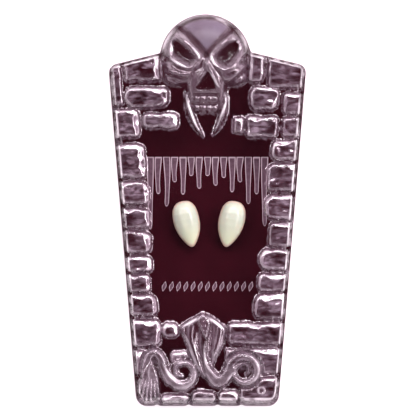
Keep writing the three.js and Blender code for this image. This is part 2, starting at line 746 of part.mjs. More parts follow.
function meshOf(solid, name, material) {
  const { numProp, vertProperties, triVerts } = solid.getMesh();
  const positions = new Float32Array((vertProperties.length / numProp) * 3);
  for (let i = 0; i < positions.length / 3; i++) {
    positions.set(vertProperties.subarray(i * numProp, i * numProp + 3), i * 3);
  }
  const geometry = new THREE.BufferGeometry();
  geometry.setAttribute("position", new THREE.BufferAttribute(positions, 3));
  geometry.setIndex(new THREE.BufferAttribute(new Uint32Array(triVerts), 1));
  geometry.computeVertexNormals();
  const mesh = new THREE.Mesh(geometry, material);
  mesh.name = name;
  return mesh;
}

const pack = new THREE.Group();
pack.add(meshOf(packPlate(0, cardThickness), "backing_card", maroonCard));
pack.add(meshOf(coverSolid(), "clear_cover", clearPlastic));
for (const [name, side] of [["fang_cap_left", 1], ["fang_cap_right", -1]]) {
  const fang = meshOf(fangSolid(side), name, ivoryAcrylic);
  fang.position.set(fangOffset - (side * fangSpacing) / 2, -fangDrop, fangLevel);
  fang.rotation.z = THREE.MathUtils.degToRad(side * fangTilt);
  pack.add(fang);
}

export default pack;
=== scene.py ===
"""A pair of vampire fang caps in a coffin-shaped pack: a dark card under one clear moulded cover.

Lengths inside the shape functions are millimetres in the pack's frame: the origin is the middle of
the card's back, +X is to the right, +Y runs up the coffin to the skull and +Z comes out of the front.
"""

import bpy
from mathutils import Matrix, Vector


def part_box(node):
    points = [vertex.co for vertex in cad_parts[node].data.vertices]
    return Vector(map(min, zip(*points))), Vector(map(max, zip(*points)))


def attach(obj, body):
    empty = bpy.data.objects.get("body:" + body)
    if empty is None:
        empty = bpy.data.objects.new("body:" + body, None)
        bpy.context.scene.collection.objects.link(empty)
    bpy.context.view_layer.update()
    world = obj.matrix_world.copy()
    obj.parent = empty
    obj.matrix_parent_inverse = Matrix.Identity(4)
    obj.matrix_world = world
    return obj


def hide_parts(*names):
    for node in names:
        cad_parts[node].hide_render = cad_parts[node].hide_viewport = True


bl_info = {
    "name": "Fang Cap Coffin Pack",
    "version": (1, 0, 0),
    "blender": (4, 5, 0),
    "location": "3D View > Sidebar > Fang Pack",
    "description": "Builds a printed card, a moulded clear cover and two ivory fang caps",
    "category": "Add Mesh",
}

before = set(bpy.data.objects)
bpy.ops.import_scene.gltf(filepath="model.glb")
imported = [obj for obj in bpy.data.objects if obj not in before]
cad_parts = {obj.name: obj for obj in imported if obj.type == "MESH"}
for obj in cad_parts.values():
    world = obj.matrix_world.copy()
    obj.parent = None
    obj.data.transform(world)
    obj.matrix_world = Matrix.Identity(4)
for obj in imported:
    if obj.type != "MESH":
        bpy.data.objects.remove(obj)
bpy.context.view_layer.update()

import math
from collections import namedtuple
from types import SimpleNamespace

import bpy
import numpy as np
from mathutils import Vector

MM = 0.001  # metres in a millimetre
CARD_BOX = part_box("backing_card")
COVER_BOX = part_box("clear_cover")
FANG_NODES = ("fang_cap_left", "fang_cap_right")

# The coffin's plan, from the frame where it can be measured there
PACK_LENGTH = (CARD_BOX[1].y - CARD_BOX[0].y) / MM
FOOT_Y = CARD_BOX[0].y / MM
CARD_TOP = CARD_BOX[1].z / MM
RIM_Z = COVER_BOX[0].z / MM
SHOULDER_HEIGHT = 132.0
SHOULDER_WIDTH = 77.0
FOOT_WIDTH = 55.0
GABLE_RISE = 9.5
FOOT_CORNER = 4.0
SHOULDER_CORNER = 3.0
SHOULDER_Y = FOOT_Y + SHOULDER_HEIGHT
SIDE_SLOPE = (SHOULDER_WIDTH - FOOT_WIDTH) / 2 / SHOULDER_HEIGHT
TOP_SLOPE = GABLE_RISE / (SHOULDER_WIDTH / 2)

# The cover's levels and walls
SHEET = 0.5
FLANGE_WIDTH = 0.4
FLANGE_Z = RIM_Z + SHEET
WALL_LEAN = 0.12
FOOT_LEAN = 1.7  # how many times more the foot wall leans than the others
WINDOW_Z = 10.4
JOINT_DEPTH = 1.3
CHART_INSET = 2.55  # from the outline in to where the stones' chart starts

# Columns and rows of the two grids over the plan
COVER_GRID = (225, 345)
CARD_GRID = (121, 201)
CARD_EASE = 0.12  # how far the card's front edge lies inside its back edge

# A raised form's edge: a steep side, then a bevel of one slope
STEEP = 4.5
BEVEL_SLOPE = 0.5

# The skull's place
SKULL_RADIUS = 17.0
SKULL_BORDER = 0.8  # of the card and the flange round the skull
SKULL_X = -0.8
SKULL_Y = PACK_LENGTH / 2 - SKULL_BORDER - SKULL_RADIUS
SKULL_RISE = 16.8
CHEEK_SHARE = 0.65

# The serpent's chart
SERPENT_HEIGHT = 36.5
SERPENT_REACH = FOOT_Y + 1.1 * SERPENT_HEIGHT  # no part of the serpent lies above this
BODY_RADIUS = 2.6


def smooth_step(low, high, value):
    """0 below low, 1 above high, and a cubic between with flat ends."""
    t = np.clip((value - low) / (high - low), 0, 1)
    return t * t * (3 - 2 * t)


def smooth_min(a, b, reach):
    """The lesser of two heights, with the corner between them rounded over a reach."""
    h = np.clip(0.5 + 0.5 * (b - a) / reach, 0, 1)
    return b + (a - b) * h - reach * h * (1 - h)


def bell(distance, width):
    """A bump of height 1 that falls off with the square of the distance over the width."""
    return np.exp(-((distance / width) ** 2))


def soft_noise(x, y, size, seed):
    """Noise from -1 to 1: random heights on a lattice of the given size, blended by a cubic."""
    count = 97
    lattice = np.random.default_rng(seed).uniform(-1, 1, (count, count))
    u, v = np.asarray(x) / size, np.asarray(y) / size
    i, j = np.floor(u).astype(int), np.floor(v).astype(int)
    s, t = smooth_step(0, 1, u - i), smooth_step(0, 1, v - j)
    low = lattice[i % count, j % count] * (1 - s) + lattice[(i + 1) % count, j % count] * s
    high = lattice[i % count, (j + 1) % count] * (1 - s) + lattice[(i + 1) % count, (j + 1) % count] * s
    return low * (1 - t) + high * t


def curve_through(points, steps, closed=False):
    """A smooth curve through table points by the Catmull-Rom formula, steps to each stretch."""
    p = np.asarray(points, float)
    if closed:
        p = np.vstack([p[-1:], p, p[:2]])
    else:
        p = np.vstack([2 * p[:1] - p[1:2], p, 2 * p[-1:] - p[-2:-1]])
    t = np.linspace(0, 1, steps, endpoint=False)[None, :, None]
    a, b, c, d = (p[k : len(p) - 3 + k, None, :] for k in range(4))
    curve = 0.5 * (2 * b + (c - a) * t + (2 * a - 5 * b + 4 * c - d) * t**2 + (3 * b - a - 3 * c + d) * t**3)
    curve = curve.reshape(-1, p.shape[1])
    return curve if closed else np.vstack([curve, p[-2:-1]])


def stretch_distance(x, y, start, end):
    """Each point's distance to one straight stretch, and the share of the way along it."""
    (ax, ay), (bx, by) = start, end
    length = max((bx - ax) ** 2 + (by - ay) ** 2, 1e-12)
    t = np.clip(((x - ax) * (bx - ax) + (y - ay) * (by - ay)) / length, 0, 1)
    return np.hypot(x - ax - t * (bx - ax), y - ay - t * (by - ay)), t


def path_distance(x, y, path):
    """Each point's distance to a line through the path's points, and the share of the way along it."""
    best = np.full(np.shape(x), np.inf)
    place = np.zeros(np.shape(x))
    count = len(path) - 1
    for k in range(count):
        gap, t = stretch_distance(x, y, path[k], path[k + 1])
        nearer = gap < best
        best = np.where(nearer, gap, best)
        place = np.where(nearer, (k + t) / count, place)
    return best, place


def inside_distance(x, y, outline):
    """Distance to a closed outline, positive inside it and negative outside."""
    ring = np.vstack([outline, outline[:1]])
    gap, _ = path_distance(x, y, ring)
    inside = np.zeros(np.shape(x), bool)
    for (ax, ay), (bx, by) in zip(ring[:-1], ring[1:]):
        crosses = (ay > y) != (by > y)
        at = ax + (y - ay) * (bx - ax) / np.where(by == ay, 1e-12, by - ay)
        inside ^= crosses & (x < at)
    return np.where(inside, gap, -gap)


def band_inset(x, y, path, radii):
    """Distance in from the edges of a band along a path, whose half width follows the radii."""
    inset = np.full(np.shape(x), -np.inf)
    for k in range(len(path) - 1):
        gap, t = stretch_distance(x, y, path[k], path[k + 1])
        inset = np.maximum(inset, radii[k] + (radii[k + 1] - radii[k]) * t - gap)
    return inset


def bevelled(inset, rise, bevel):
    """Height over an outline: the lesser of its steep side and the bevel that climbs to its face."""
    return smooth_min(STEEP * inset, rise - BEVEL_SLOPE * np.maximum(bevel - inset, 0), 0.45)


def half_width(y):
    """Half the coffin's width, which grows in a straight line from the foot to the shoulders."""
    return FOOT_WIDTH / 2 + SIDE_SLOPE * (y - FOOT_Y)


# The printed ornament: a row of drips that hang from one line, and a row of slanted lozenges under the caps
PRINT_OUTLINE = 0.35
INK_HEIGHT = 0.02
DRIP_COUNT = 15
DRIP_REACH = 22.2
DRIP_TOP = 20.6
DRIP_SHORT = 11.5
DRIP_LONG = 27.5
DRIP_WIDTH = 2.75
DRIP_SHARE = 0.62  # a short drip's length as a share of its long neighbour's
DRIP_BOW = 0.35
LOZENGE_COUNT = 13
LOZENGE_REACH = 16.8
LOZENGE_Y = -29.6
LOZENGE_WIDTH = 1.7
LOZENGE_HEIGHT = 3.9
LOZENGE_SLANT = 1.1

# The joints between the stones of the foot edge, as places across it from -1 to 1
FOOT_NOTCHES = (-0.715, -0.265, 0.145, 0.48)
FOOT_BULGE = 0.55


def corner_arc(to_side, radius):
    """How far a round corner draws an edge in, at a distance from the side."""
    return radius - np.sqrt(np.maximum(radius**2 - np.maximum(radius - to_side, 0) ** 2, 0))


def foot_edge(across):
    """The foot edge: arcs at its two corners, and a small notch at each joint between its stones."""
    x = across * FOOT_WIDTH / 2
    arc = corner_arc((1 - np.abs(across)) * FOOT_WIDTH / 2, FOOT_CORNER)
    notch = sum(bell(x - place * FOOT_WIDTH / 2, 0.9) for place in FOOT_NOTCHES)
    return FOOT_Y + arc + FOOT_BULGE * notch


def top_edge(across):
    """The top edge: the gable's slopes with an arc at each shoulder, joined to the skull's circle."""
    radius = SKULL_RADIUS + SKULL_BORDER
    y = np.full(np.shape(across), SHOULDER_Y)
    for _ in range(12):
        x = across * half_width(y)
        arc = corner_arc((1 - np.abs(across)) * half_width(y), SHOULDER_CORNER)
        gable = SHOULDER_Y + GABLE_RISE - TOP_SLOPE * np.abs(x) - arc
        crown = SKULL_Y + np.sqrt(np.maximum(radius**2 - (x - SKULL_X) ** 2, 0))
        crown = np.where(np.abs(x - SKULL_X) < radius, crown, -1e3)
        y = np.maximum(gable, crown)
    return y


CROWN_BAND = 6.5  # from the gable down to the line where the last rows start
CROWN_SHARE = 0.13


def spread(count, finer):
    """Places from -1 to 1 that lie closer together towards both ends."""
    t = np.linspace(-1, 1, count)
    return (1 - finer) * t + finer * np.sin(t * math.pi / 2)


def plan_grid(columns, rows):
    """A grid over the pack's plan: columns fan out with the sides. Most rows run evenly from the foot
    edge to a line below the gable, and the last ones from that line to the top edge."""
    across = spread(columns, 0.4)[None, :]
    low, high = foot_edge(across), top_edge(across)
    bend = SHOULDER_Y + GABLE_RISE * (1 - np.abs(across)) - CROWN_BAND
    crown_rows = round(rows * CROWN_SHARE)
    up = np.linspace(0, 1, rows - crown_rows, endpoint=False)[:, None]
    on = np.linspace(0, 1, crown_rows)[:, None]
    y = np.concatenate([low + (bend - low) * up, bend + (high - bend) * on])
    return across * half_width(y), y


def edge_distance(x, y):
    """Distance in from the coffin's own outline, with its corners rounded."""
    side = (half_width(y) - np.abs(x)) / math.hypot(1, SIDE_SLOPE)
    foot = (y - foot_edge(np.clip(x / (FOOT_WIDTH / 2), -0.8, 0.8))) / FOOT_LEAN
    top = (SHOULDER_Y + GABLE_RISE - TOP_SLOPE * np.abs(x) - y) / math.hypot(1, TOP_SLOPE)
    inner = np.minimum(np.minimum(side, foot), top)
    for other, radius in ((foot, FOOT_CORNER), (top, SHOULDER_CORNER)):
        corner = radius - np.hypot(np.maximum(radius - side, 0), np.maximum(radius - other, 0))
        inner = np.where((side < radius) & (other < radius), np.minimum(inner, corner), inner)
    return inner


def skull_distance(x, y):
    """Distance in from the skull's own outline."""
    return SKULL_RADIUS + SKULL_BORDER - np.hypot(x - SKULL_X, y - SKULL_Y)


# The stones as seen from the front: across from -1 at the left wall to 1 at the right, and up
# from 0 at the foot wall to 1 at the top wall; cut is the corner's share of the shorter side.
Stone = namedtuple("Stone", "left right low high cut rise")
STONES = (
    Stone(-1, -0.925, 0.88, 1, 0.25, 0.72),
    Stone(-0.9, -0.5, 0.95, 1, 0.12, 1),
    Stone(-0.92, -0.42, 0.872, 0.936, 0.3, 1),
    Stone(-1, -0.76, 0.784, 0.871, 0.22, 0.94),
    Stone(-0.73, -0.32, 0.812, 0.86, 0.22, 0.86),
    Stone(-1, -0.71, 0.667, 0.769, 0.16, 0.95),
    Stone(-1, -0.69, 0.59, 0.66, 0.26, 1),
    Stone(-1, -0.7, 0.522, 0.583, 0.2, 0.9),
    Stone(-1, -0.7, 0.449, 0.518, 0.32, 1),
    Stone(-1, -0.7, 0.394, 0.444, 0.25, 0.88),
    Stone(-1, -0.75, 0.334, 0.389, 0.2, 0.8),
    Stone(-1, -0.66, 0.264, 0.331, 0.32, 1),
    Stone(-1, -0.64, 0.177, 0.26, 0.22, 0.94),
    Stone(-0.64, -0.39, 0.203, 0.25, 0.3, 0.75),
    Stone(-1, -0.76, 0.093, 0.17, 0.2, 0.62),
    Stone(-0.53, -0.21, 0.129, 0.167, 0.25, 0.5),
    Stone(-1, -0.72, 0, 0.085, 0.3, 0.8),
    Stone(-0.71, -0.27, 0, 0.042, 0.3, 0.72),
    Stone(-0.26, 0.13, 0, 0.05, 0.28, 0.8),
    Stone(0.16, 0.47, 0, 0.052, 0.25, 0.75),
    Stone(0.49, 1, 0, 0.091, 0.25, 0.85),
    Stone(0.25, 1, 0.1, 0.173, 0.12, 0.62),
    Stone(0.28, 1, 0.182, 0.25, 0.16, 0.95),
    Stone(0.62, 1, 0.258, 0.334, 0.24, 0.96),
    Stone(0.66, 1, 0.338, 0.392, 0.24, 0.82),
    Stone(0.66, 1, 0.397, 0.464, 0.34, 1),
    Stone(0.76, 1, 0.467, 0.542, 0.16, 0.85),
    Stone(0.69, 1, 0.546, 0.622, 0.3, 1),
    Stone(0.7, 1, 0.628, 0.713, 0.2, 0.96),
    Stone(0.72, 1, 0.718, 0.782, 0.3, 0.94),
    Stone(0.84, 1, 0.786, 0.848, 0.2, 0.85),
    Stone(0.43, 0.81, 0.786, 0.851, 0.18, 0.98),
    Stone(0.28, 0.42, 0.796, 0.848, 0.22, 0.82),
    Stone(0.83, 1, 0.853, 0.92, 0.2, 0.85),
    Stone(0.46, 0.79, 0.865, 0.938, 0.26, 1),
    Stone(0.64, 1, 0.93, 1, 0.22, 1),
    Stone(0.44, 0.61, 0.947, 1, 0.18, 0.9),
)
BEYOND = 9.0  # how far a stone that meets a wall is taken to run on past it
# How wide a stone's bevel is at its left, right, low and high side, and at one that faces the window
BEVELS = (1.3, 1.3, 1.0, 1.9)
INNER_BEVEL = 2.8


def stone_form(stone, x, y, number, stone_rise):
    """A stone's height above the window, and the distance in from its outline.

    The outline is a box with round corners and a wavy edge, open where it meets a wall. The face is
    tilted and hammered along its own grain, and its bevel's width wanders."""
    reach = half_width(y) - CHART_INSET
    top_wall = SHOULDER_Y + GABLE_RISE * (1 - np.abs(x) / reach) - CHART_INSET
    low_y, high_y = FOOT_Y + stone.low * SHOULDER_HEIGHT, FOOT_Y + stone.high * SHOULDER_HEIGHT
    sides = np.stack([
        x - stone.left * reach + BEYOND * (stone.left == -1),
        stone.right * reach - x + BEYOND * (stone.right == 1),
        y - (FOOT_Y + CHART_INSET - BEYOND if stone.low == 0 else low_y),
        (top_wall + BEYOND if stone.high == 1 else high_y) - y,
    ])
    wave = 0.34 * soft_noise(x, y, 3.1, 40 + number) + 0.16 * soft_noise(x, y, 1.3, 90 + number)
    small = min((stone.right - stone.left) * half_width((low_y + high_y) / 2), high_y - low_y)
    radius = max(1.3 * stone.cut * small, 0.6)
    across, along = np.minimum(sides[0], sides[1]), np.minimum(sides[2], sides[3])
    corner = radius - np.hypot(np.maximum(radius - across, 0), np.maximum(radius - along, 0))
    inset = wave + np.where((across < radius) | (along < radius), corner, np.minimum(across, along))
    widths = np.array(BEVELS)
    if stone.right < 0.2 and stone.low > 0:
        widths[1] = INNER_BEVEL
    weights = np.exp(-np.clip(sides - sides.min(axis=0), 0, 20) / 0.8)
    bevel = np.tensordot(widths, weights, 1) / weights.sum(axis=0)
    bevel = np.minimum(bevel * (1 + 0.5 * soft_noise(x, y, 3.7, 200 + number)), 0.36 * small)
    rng = np.random.default_rng(300 + number)
    tilt_x, tilt_y, turn = rng.uniform((-0.04, -0.06, -0.35), (0.04, 0.06, 0.35))
    here = inset > 0
    middle_x, middle_y = (np.sum(p * here) / max(np.sum(here), 1) for p in (x, y))
    grain = 0.45 * (x * math.cos(turn) + y * math.sin(turn))
    cross = y * math.cos(turn) - x * math.sin(turn)
    hammer = 0.19 * soft_noise(grain, cross, 1.5, 500 + number)
    hammer += 0.07 * soft_noise(grain, cross, 0.8, 700 + number)
    tilt = np.clip(tilt_x * (x - middle_x) + tilt_y * (y - middle_y), -0.6, 0.6)
    chips = 0.1 * soft_noise(x, y, 1.3, 800 + number)
    face = stone.rise * stone_rise + tilt + 0.28 * soft_noise(x, y, 4.1, 600 + number)
    face += hammer * smooth_step(0.0, 0.8, inset - bevel)
    return bevelled(inset, face, bevel + chips), inset


def stones_relief(x, y, stone_rise):
    """The highest of every stone at each point, and the distance in from the nearest stone's edge."""
    level = np.zeros_like(x)
    nearest = np.full_like(x, -5.0)
    for number, stone in enumerate(STONES):
        height, inset = stone_form(stone, x, y, number, stone_rise)
        level = np.where(inset > 0, np.maximum(level, height), level)
        nearest = np.maximum(nearest, inset)
    return level, nearest


# The skull, in shares of its radius from its centre
SOCKETS = (
    ((-0.74, 0.33), (-0.645, 0.41), (-0.51, 0.29), (-0.27, 0.04), (-0.265, -0.09), (-0.39, -0.16),
     (-0.6, -0.05), (-0.73, 0.1)),
    ((0.67, 0.41), (0.76, 0.32), (0.76, 0.14), (0.59, -0.13), (0.4, -0.19), (0.26, -0.09),
     (0.25, 0.06), (0.4, 0.23), (0.59, 0.37)),
)
# Ridges and creases: a path, how high in millimetres (below 0 for a crease) and how wide as a share.
# The first of them are the brow's creases.
BROW_CREASES = 2
SKULL_LINES = (
    (((-0.62, 0.73), (-0.46, 0.6), (-0.24, 0.36), (-0.1, 0.2), (0.0, 0.08)), -1.7, 0.042),
    (((0.66, 0.68), (0.54, 0.6), (0.32, 0.39), (0.13, 0.2), (0.03, 0.08)), -1.3, 0.048),
    (((0.02, 0.1), (0.02, 0.0)), -1.2, 0.05),
    (((0.03, -0.02), (0.045, -0.12), (0.06, -0.22)), 1.1, 0.06),
    (((0.05, -0.16), (0.15, -0.36), (0.24, -0.58), (0.3, -0.7)), 1.5, 0.06),
    (((0.03, -0.18), (-0.08, -0.38), (-0.17, -0.55), (-0.22, -0.7)), 1.1, 0.05),
    (((-0.14, -0.1), (-0.22, -0.3), (-0.34, -0.46), (-0.4, -0.62)), -1.2, 0.06),
    (((0.2, -0.16), (0.28, -0.34), (0.36, -0.5), (0.4, -0.66)), -1.2, 0.06),
    (((-0.84, -0.02), (-0.68, -0.2), (-0.48, -0.28), (-0.34, -0.28)), -1.6, 0.06),
    (((-0.93, -0.12), (-0.76, -0.28), (-0.56, -0.36), (-0.36, -0.36)), 1.2, 0.06),
    (((-0.96, -0.26), (-0.82, -0.42), (-0.6, -0.5), (-0.44, -0.5)), -1.4, 0.06),
    (((-0.94, -0.5), (-0.78, -0.58), (-0.56, -0.58)), 0.9, 0.05),
    (((0.32, -0.315), (0.58, -0.28), (0.78, -0.165), (0.94, 0.02)), -0.5, 0.075),
    (((0.4, -0.4), (0.62, -0.38), (0.8, -0.26), (0.93, -0.1)), 0.5, 0.07),
    (((0.64, -0.53), (0.78, -0.42), (0.96, -0.24)), -1.5, 0.05),
    (((0.52, -0.62), (0.72, -0.62), (0.9, -0.54), (0.98, -0.42)), 0.9, 0.05),
)
NOSE = ((0.055, -0.3), (-0.08, -0.49), (-0.23, -0.69), (0.01, -0.73), (0.24, -0.69), (0.17, -0.5))
TUSKS = (
    ((-0.4, -0.72), (-0.4, -0.95), (-0.35, -1.2), (-0.26, -1.44), (-0.14, -1.64), (-0.04, -1.76)),
    ((0.43, -0.72), (0.44, -0.95), (0.41, -1.2), (0.34, -1.42), (0.25, -1.6), (0.17, -1.72)),
)
TUSK_SIZES = (1.0, 1.35, 1.6, 1.4, 0.95, 0.3)
TUSK_RISE = 3.6
NOSE_DEPTH = 2.6
# The upper jaw: how far down, with its half width in shares there, and with its height in millimetres
JAW_X = 0.02
JAW_WIDTHS = ((0.1, 0.4, 0.6, 0.75, 0.9, 1.2, 1.3), (0.2, 0.42, 0.5, 0.47, 0.44, 0.36, 0.3))
JAW_HEIGHTS = ((0.1, 0.5, 0.8, 1.1, 1.26), (8.6, 7.6, 5.4, 3.6, 2.2))
TOOTH_PITCH = 0.14
TOOTH_ROWS = ((0.84, 1.03), (1.05, 1.25))  # how far down each row of teeth starts and ends
TOOTH_RISE = 1.1
GUM_DEPTH = 1.3


def skull_shares(x, y):
    return (x - SKULL_X) / SKULL_RADIUS, (y - SKULL_Y) / SKULL_RADIUS


def skull_relief(x, y):
    """The skull's level: a dome, squarer below than above, with the sockets, nose and folds added.

    Also how far inside an eye socket or the nose each point lies, in millimetres."""
    sx, sy = skull_shares(x, y)
    above = np.hypot(sx, sy)
    below = (np.abs(sx) ** 6 + np.abs(sy / CHEEK_SHARE) ** 6) ** (1 / 6)
    out = np.where(sy >= 0, above, below) * SKULL_RADIUS / (SKULL_RADIUS + SKULL_BORDER - FLANGE_WIDTH)
    power = 4.2 + 4 * smooth_step(0.05, -0.3, sy)
    dome = FLANGE_Z + SKULL_RISE * (1 - np.clip(out, 0, 1) ** power) ** 0.6
    within = smooth_step(1.0, 0.93, out)
    carve = np.zeros_like(x)
    for path, height, width in SKULL_LINES:
        gap, place = path_distance(sx, sy, curve_through(path, 6))
        carve += height * bell(gap, width) * (0.35 + 0.65 * np.sin(np.pi * np.clip(place, 0.12, 0.88)))
    hollow = np.full_like(x, -np.inf)
    for outline in SOCKETS:
        inner = SKULL_RADIUS * inside_distance(sx, sy, curve_through(outline, 5, closed=True))
        carve += 1.25 * bell(inner + 1.5, 1.25)
        carve -= 0.62 * np.clip(inner + 1.1, 0, 2.6) + 1.9 * smooth_step(0.5, 1.8, inner)
        hollow = np.maximum(hollow, inner)
    level = dome + within * carve
    level = np.maximum(level, muzzle_relief(sx, sy))
    nose = SKULL_RADIUS * inside_distance(sx, sy, curve_through(NOSE, 5, closed=True))
    level = level - NOSE_DEPTH * smooth_step(0.0, 1.3, nose) + 0.5 * bell(sx - 0.015, 0.03) * (nose > 0.3)
    return level, np.maximum(hollow, nose)


def muzzle_relief(sx, sy):
    """The upper jaw: a rounded block that narrows downwards, its teeth, and a tusk at each side."""
    down = -sy
    half = np.interp(down, *JAW_WIDTHS)
    rise = np.interp(down, *JAW_HEIGHTS)
    side = np.clip(1 - ((sx - JAW_X) / half) ** 6, 0, 1) ** 0.5
    ends = smooth_step(0.1, 0.3, down) * smooth_step(1.3, 1.2, down)
    level = WINDOW_Z - 3 + (rise + 3) * side * ends
    teeth = np.zeros_like(sx)
    place = (sx - JAW_X) / TOOTH_PITCH
    lane = np.abs(place - np.floor(place) - 0.5) * 2
    for top, bottom in TOOTH_ROWS:
        tooth = (1 - lane**4) * smooth_step(top, top + 0.07, down) * smooth_step(bottom, bottom - 0.07, down)
        teeth += np.where(np.abs(place) < 2, tooth, 0)
    gum = smooth_step(0.76, 0.84, down) * (np.abs(sx - JAW_X) < 2.2 * TOOTH_PITCH)
    level = level + np.where(side * ends > 0.2, TOOTH_RISE * teeth - GUM_DEPTH * gum, 0)
    mouth = np.where((side > 0) & (ends > 0), level, -np.inf)
    for path in TUSKS:
        line = curve_through([(*point, size) for point, size in zip(path, TUSK_SIZES)], 7)
        inset = band_inset(sx * SKULL_RADIUS, sy * SKULL_RADIUS, line[:, :2] * SKULL_RADIUS, line[:, 2])
        ridge = smooth_min(STEEP * inset, TUSK_RISE + 0.62 * (inset - 1.6), 0.3)
        mouth = np.where(inset > 0, np.maximum(mouth, WINDOW_Z + ridge), mouth)
    return mouth


# The serpent's tables: across in shares of half the foot's width, up in shares of its own height,
# and size a share of its body's radius
HOOD = (
    (-0.1, 0.355), (-0.02, 0.31), (0.08, 0.38), (0.095, 0.465), (0.15, 0.56), (0.22, 0.66),
    (0.253, 0.757), (0.268, 0.84), (0.16, 0.91), (0.06, 0.963), (-0.064, 1.0), (-0.17, 0.963),
    (-0.287, 0.915), (-0.382, 0.86), (-0.36, 0.78), (-0.3, 0.67), (-0.237, 0.54), (-0.172, 0.43),
)
HEAD = ((-0.15, 0.935), (-0.064, 0.995), (0.04, 0.935), (0.04, 0.83), (-0.02, 0.72), (-0.105, 0.81))
NECK = (
    (-0.02, 0.72, 0.3), (-0.035, 0.6, 0.45), (-0.03, 0.5, 0.62), (0.01, 0.4, 0.85), (0.07, 0.318, 1.0),
    (0.155, 0.282, 1.06), (0.245, 0.318, 1.04), (0.31, 0.41, 0.96),
)
TAIL = (
    (-0.86, 0.28, 0.7), (-0.86, 0.43, 0.8), (-0.815, 0.545, 0.8), (-0.735, 0.58, 0.78),
    (-0.655, 0.52, 0.8), (-0.61, 0.41, 0.86), (-0.54, 0.3, 0.92),
)
Coil = namedtuple("Coil", "across up start turn reach start_size end_size")
RIGHT_COIL = Coil(0.505, 0.389, 150, -560, 5.75, 0.86, 0.36)
LEFT_COIL = Coil(-0.352, 0.378, 215, 400, 5.5, 0.86, 0.4)
COIL_EYE = 0.25  # the last turn's reach as a share of the first one's
COIL_STEPS = 13
COIL_FLOOR = 2.0  # how high the ground inside a coil stands above the window
SERPENT_RISE = 4.4
HOOD_RISE = 3.3
HEAD_RISE = 1.9  # above a level a little below the hood's
HOOD_FOLDS = (
    (((-0.23, 0.86), (-0.24, 0.72), (-0.17, 0.56), (-0.1, 0.42)), 0.5, 1.1),
    (((0.17, 0.84), (0.14, 0.7), (0.08, 0.56)), 0.5, 1.0),
    (((-0.12, 0.78), (-0.13, 0.66), (-0.09, 0.52), (-0.04, 0.4)), -0.8, 0.55),
    (((0.06, 0.86), (0.05, 0.68), (0.035, 0.54), (0.07, 0.42)), -0.9, 0.55),
    (((-0.31, 0.84), (-0.3, 0.74), (-0.24, 0.6)), -0.4, 0.5),
)
TUFT_TIP = (-0.79, 0.5)
TUFT_RISE = 3.1
TUFT_FEET = ((-0.95, 0.16), (-0.905, 0.12), (-0.85, 0.095), (-0.79, 0.095), (-0.73, 0.12), (-0.685, 0.17))


def serpent_point(across, up):
    return across * FOOT_WIDTH / 2, FOOT_Y + up * SERPENT_HEIGHT


def serpent_rows(table, coil):
    """A path through its table that then winds into its coil, and the body's radius along it."""
    rows = [(*serpent_point(across, up), size * BODY_RADIUS) for across, up, size in table]
    centre = serpent_point(coil.across, coil.up)
    for k in range(COIL_STEPS + 1):
        share = k / COIL_STEPS
        turn = math.radians(coil.start + coil.turn * share)
        reach = coil.reach * (1 + (COIL_EYE - 1) * share**1.4)
        size = BODY_RADIUS * (coil.start_size + (coil.end_size - coil.start_size) * share)
        rows.append((centre[0] + reach * math.cos(turn), centre[1] + reach * math.sin(turn), size))
    return curve_through(rows, 6)


def serpent_relief(x, y):
    """The serpent's level above the window, and the distance in from its outline.

    It is a hood with folds, a scaled head, a neck and a tail that each wind into a coil, and a tuft."""
    inset = inside_distance(x, y, curve_through([serpent_point(*p) for p in HOOD], 5, closed=True))
    hood = bevelled(inset, HOOD_RISE, 1.1)
    for path, height, width in HOOD_FOLDS:
        gap, _ = path_distance(x, y, curve_through([serpent_point(*p) for p in path], 6))
        hood += height * bell(gap, width) * smooth_step(0.3, 1.0, inset)
    level = np.where(inset > 0, np.maximum(hood, 0), 0)
    head = inside_distance(x, y, curve_through([serpent_point(*p) for p in HEAD], 6, closed=True))
    scales = 0.22 * np.sin(x * 4.2) * np.cos(y * 1.7) * smooth_step(0.2, 0.9, head)
    crown = HOOD_RISE - 0.4 + bevelled(head, HEAD_RISE, 1.0) + scales
    level = np.where(head > 0, np.maximum(level, crown), level)
    for coil in (LEFT_COIL, RIGHT_COIL):
        cx, cy = serpent_point(coil.across, coil.up)
        ground = COIL_FLOOR * smooth_step(1.0, 0.9, np.hypot(x - cx, y - cy) / coil.reach)
        level = np.maximum(level, ground)
    for table, coil in ((TAIL, LEFT_COIL), (NECK, RIGHT_COIL)):
        rows = serpent_rows(table, coil)
        inner = band_inset(x, y, rows[:, :2], rows[:, 2])
        level = np.where(inner > 0, np.maximum(level, bevelled(inner, SERPENT_RISE, 0.75)), level)
        inset = np.maximum(inset, inner)
    tip = serpent_point(*TUFT_TIP)
    for across, up in TUFT_FEET:
        foot = serpent_point(across, up)
        bow = 0.6 * (foot[0] - tip[0]), 0.45 * (foot[1] - tip[1])
        line = curve_through([(*tip, 0.5), (tip[0] + bow[0], tip[1] + bow[1], 0.95), (*foot, 0.55)], 7)
        inner = band_inset(x, y, line[:, :2], line[:, 2])
        level = np.where(inner > 0, np.maximum(level, TUFT_RISE + bevelled(inner, 1.7, 0.8)), level)
        inset = np.maximum(inset, inner)
    return level, inset


# The small round button in the foot corner, a raised ring
BUTTON = (20.7, -69.3)
BUTTON_RADIUS = 1.3
BUTTON_RISE = 0.3


def ring_gap(x, y):
    return np.hypot(x - BUTTON[0], y - BUTTON[1]) - BUTTON_RADIUS


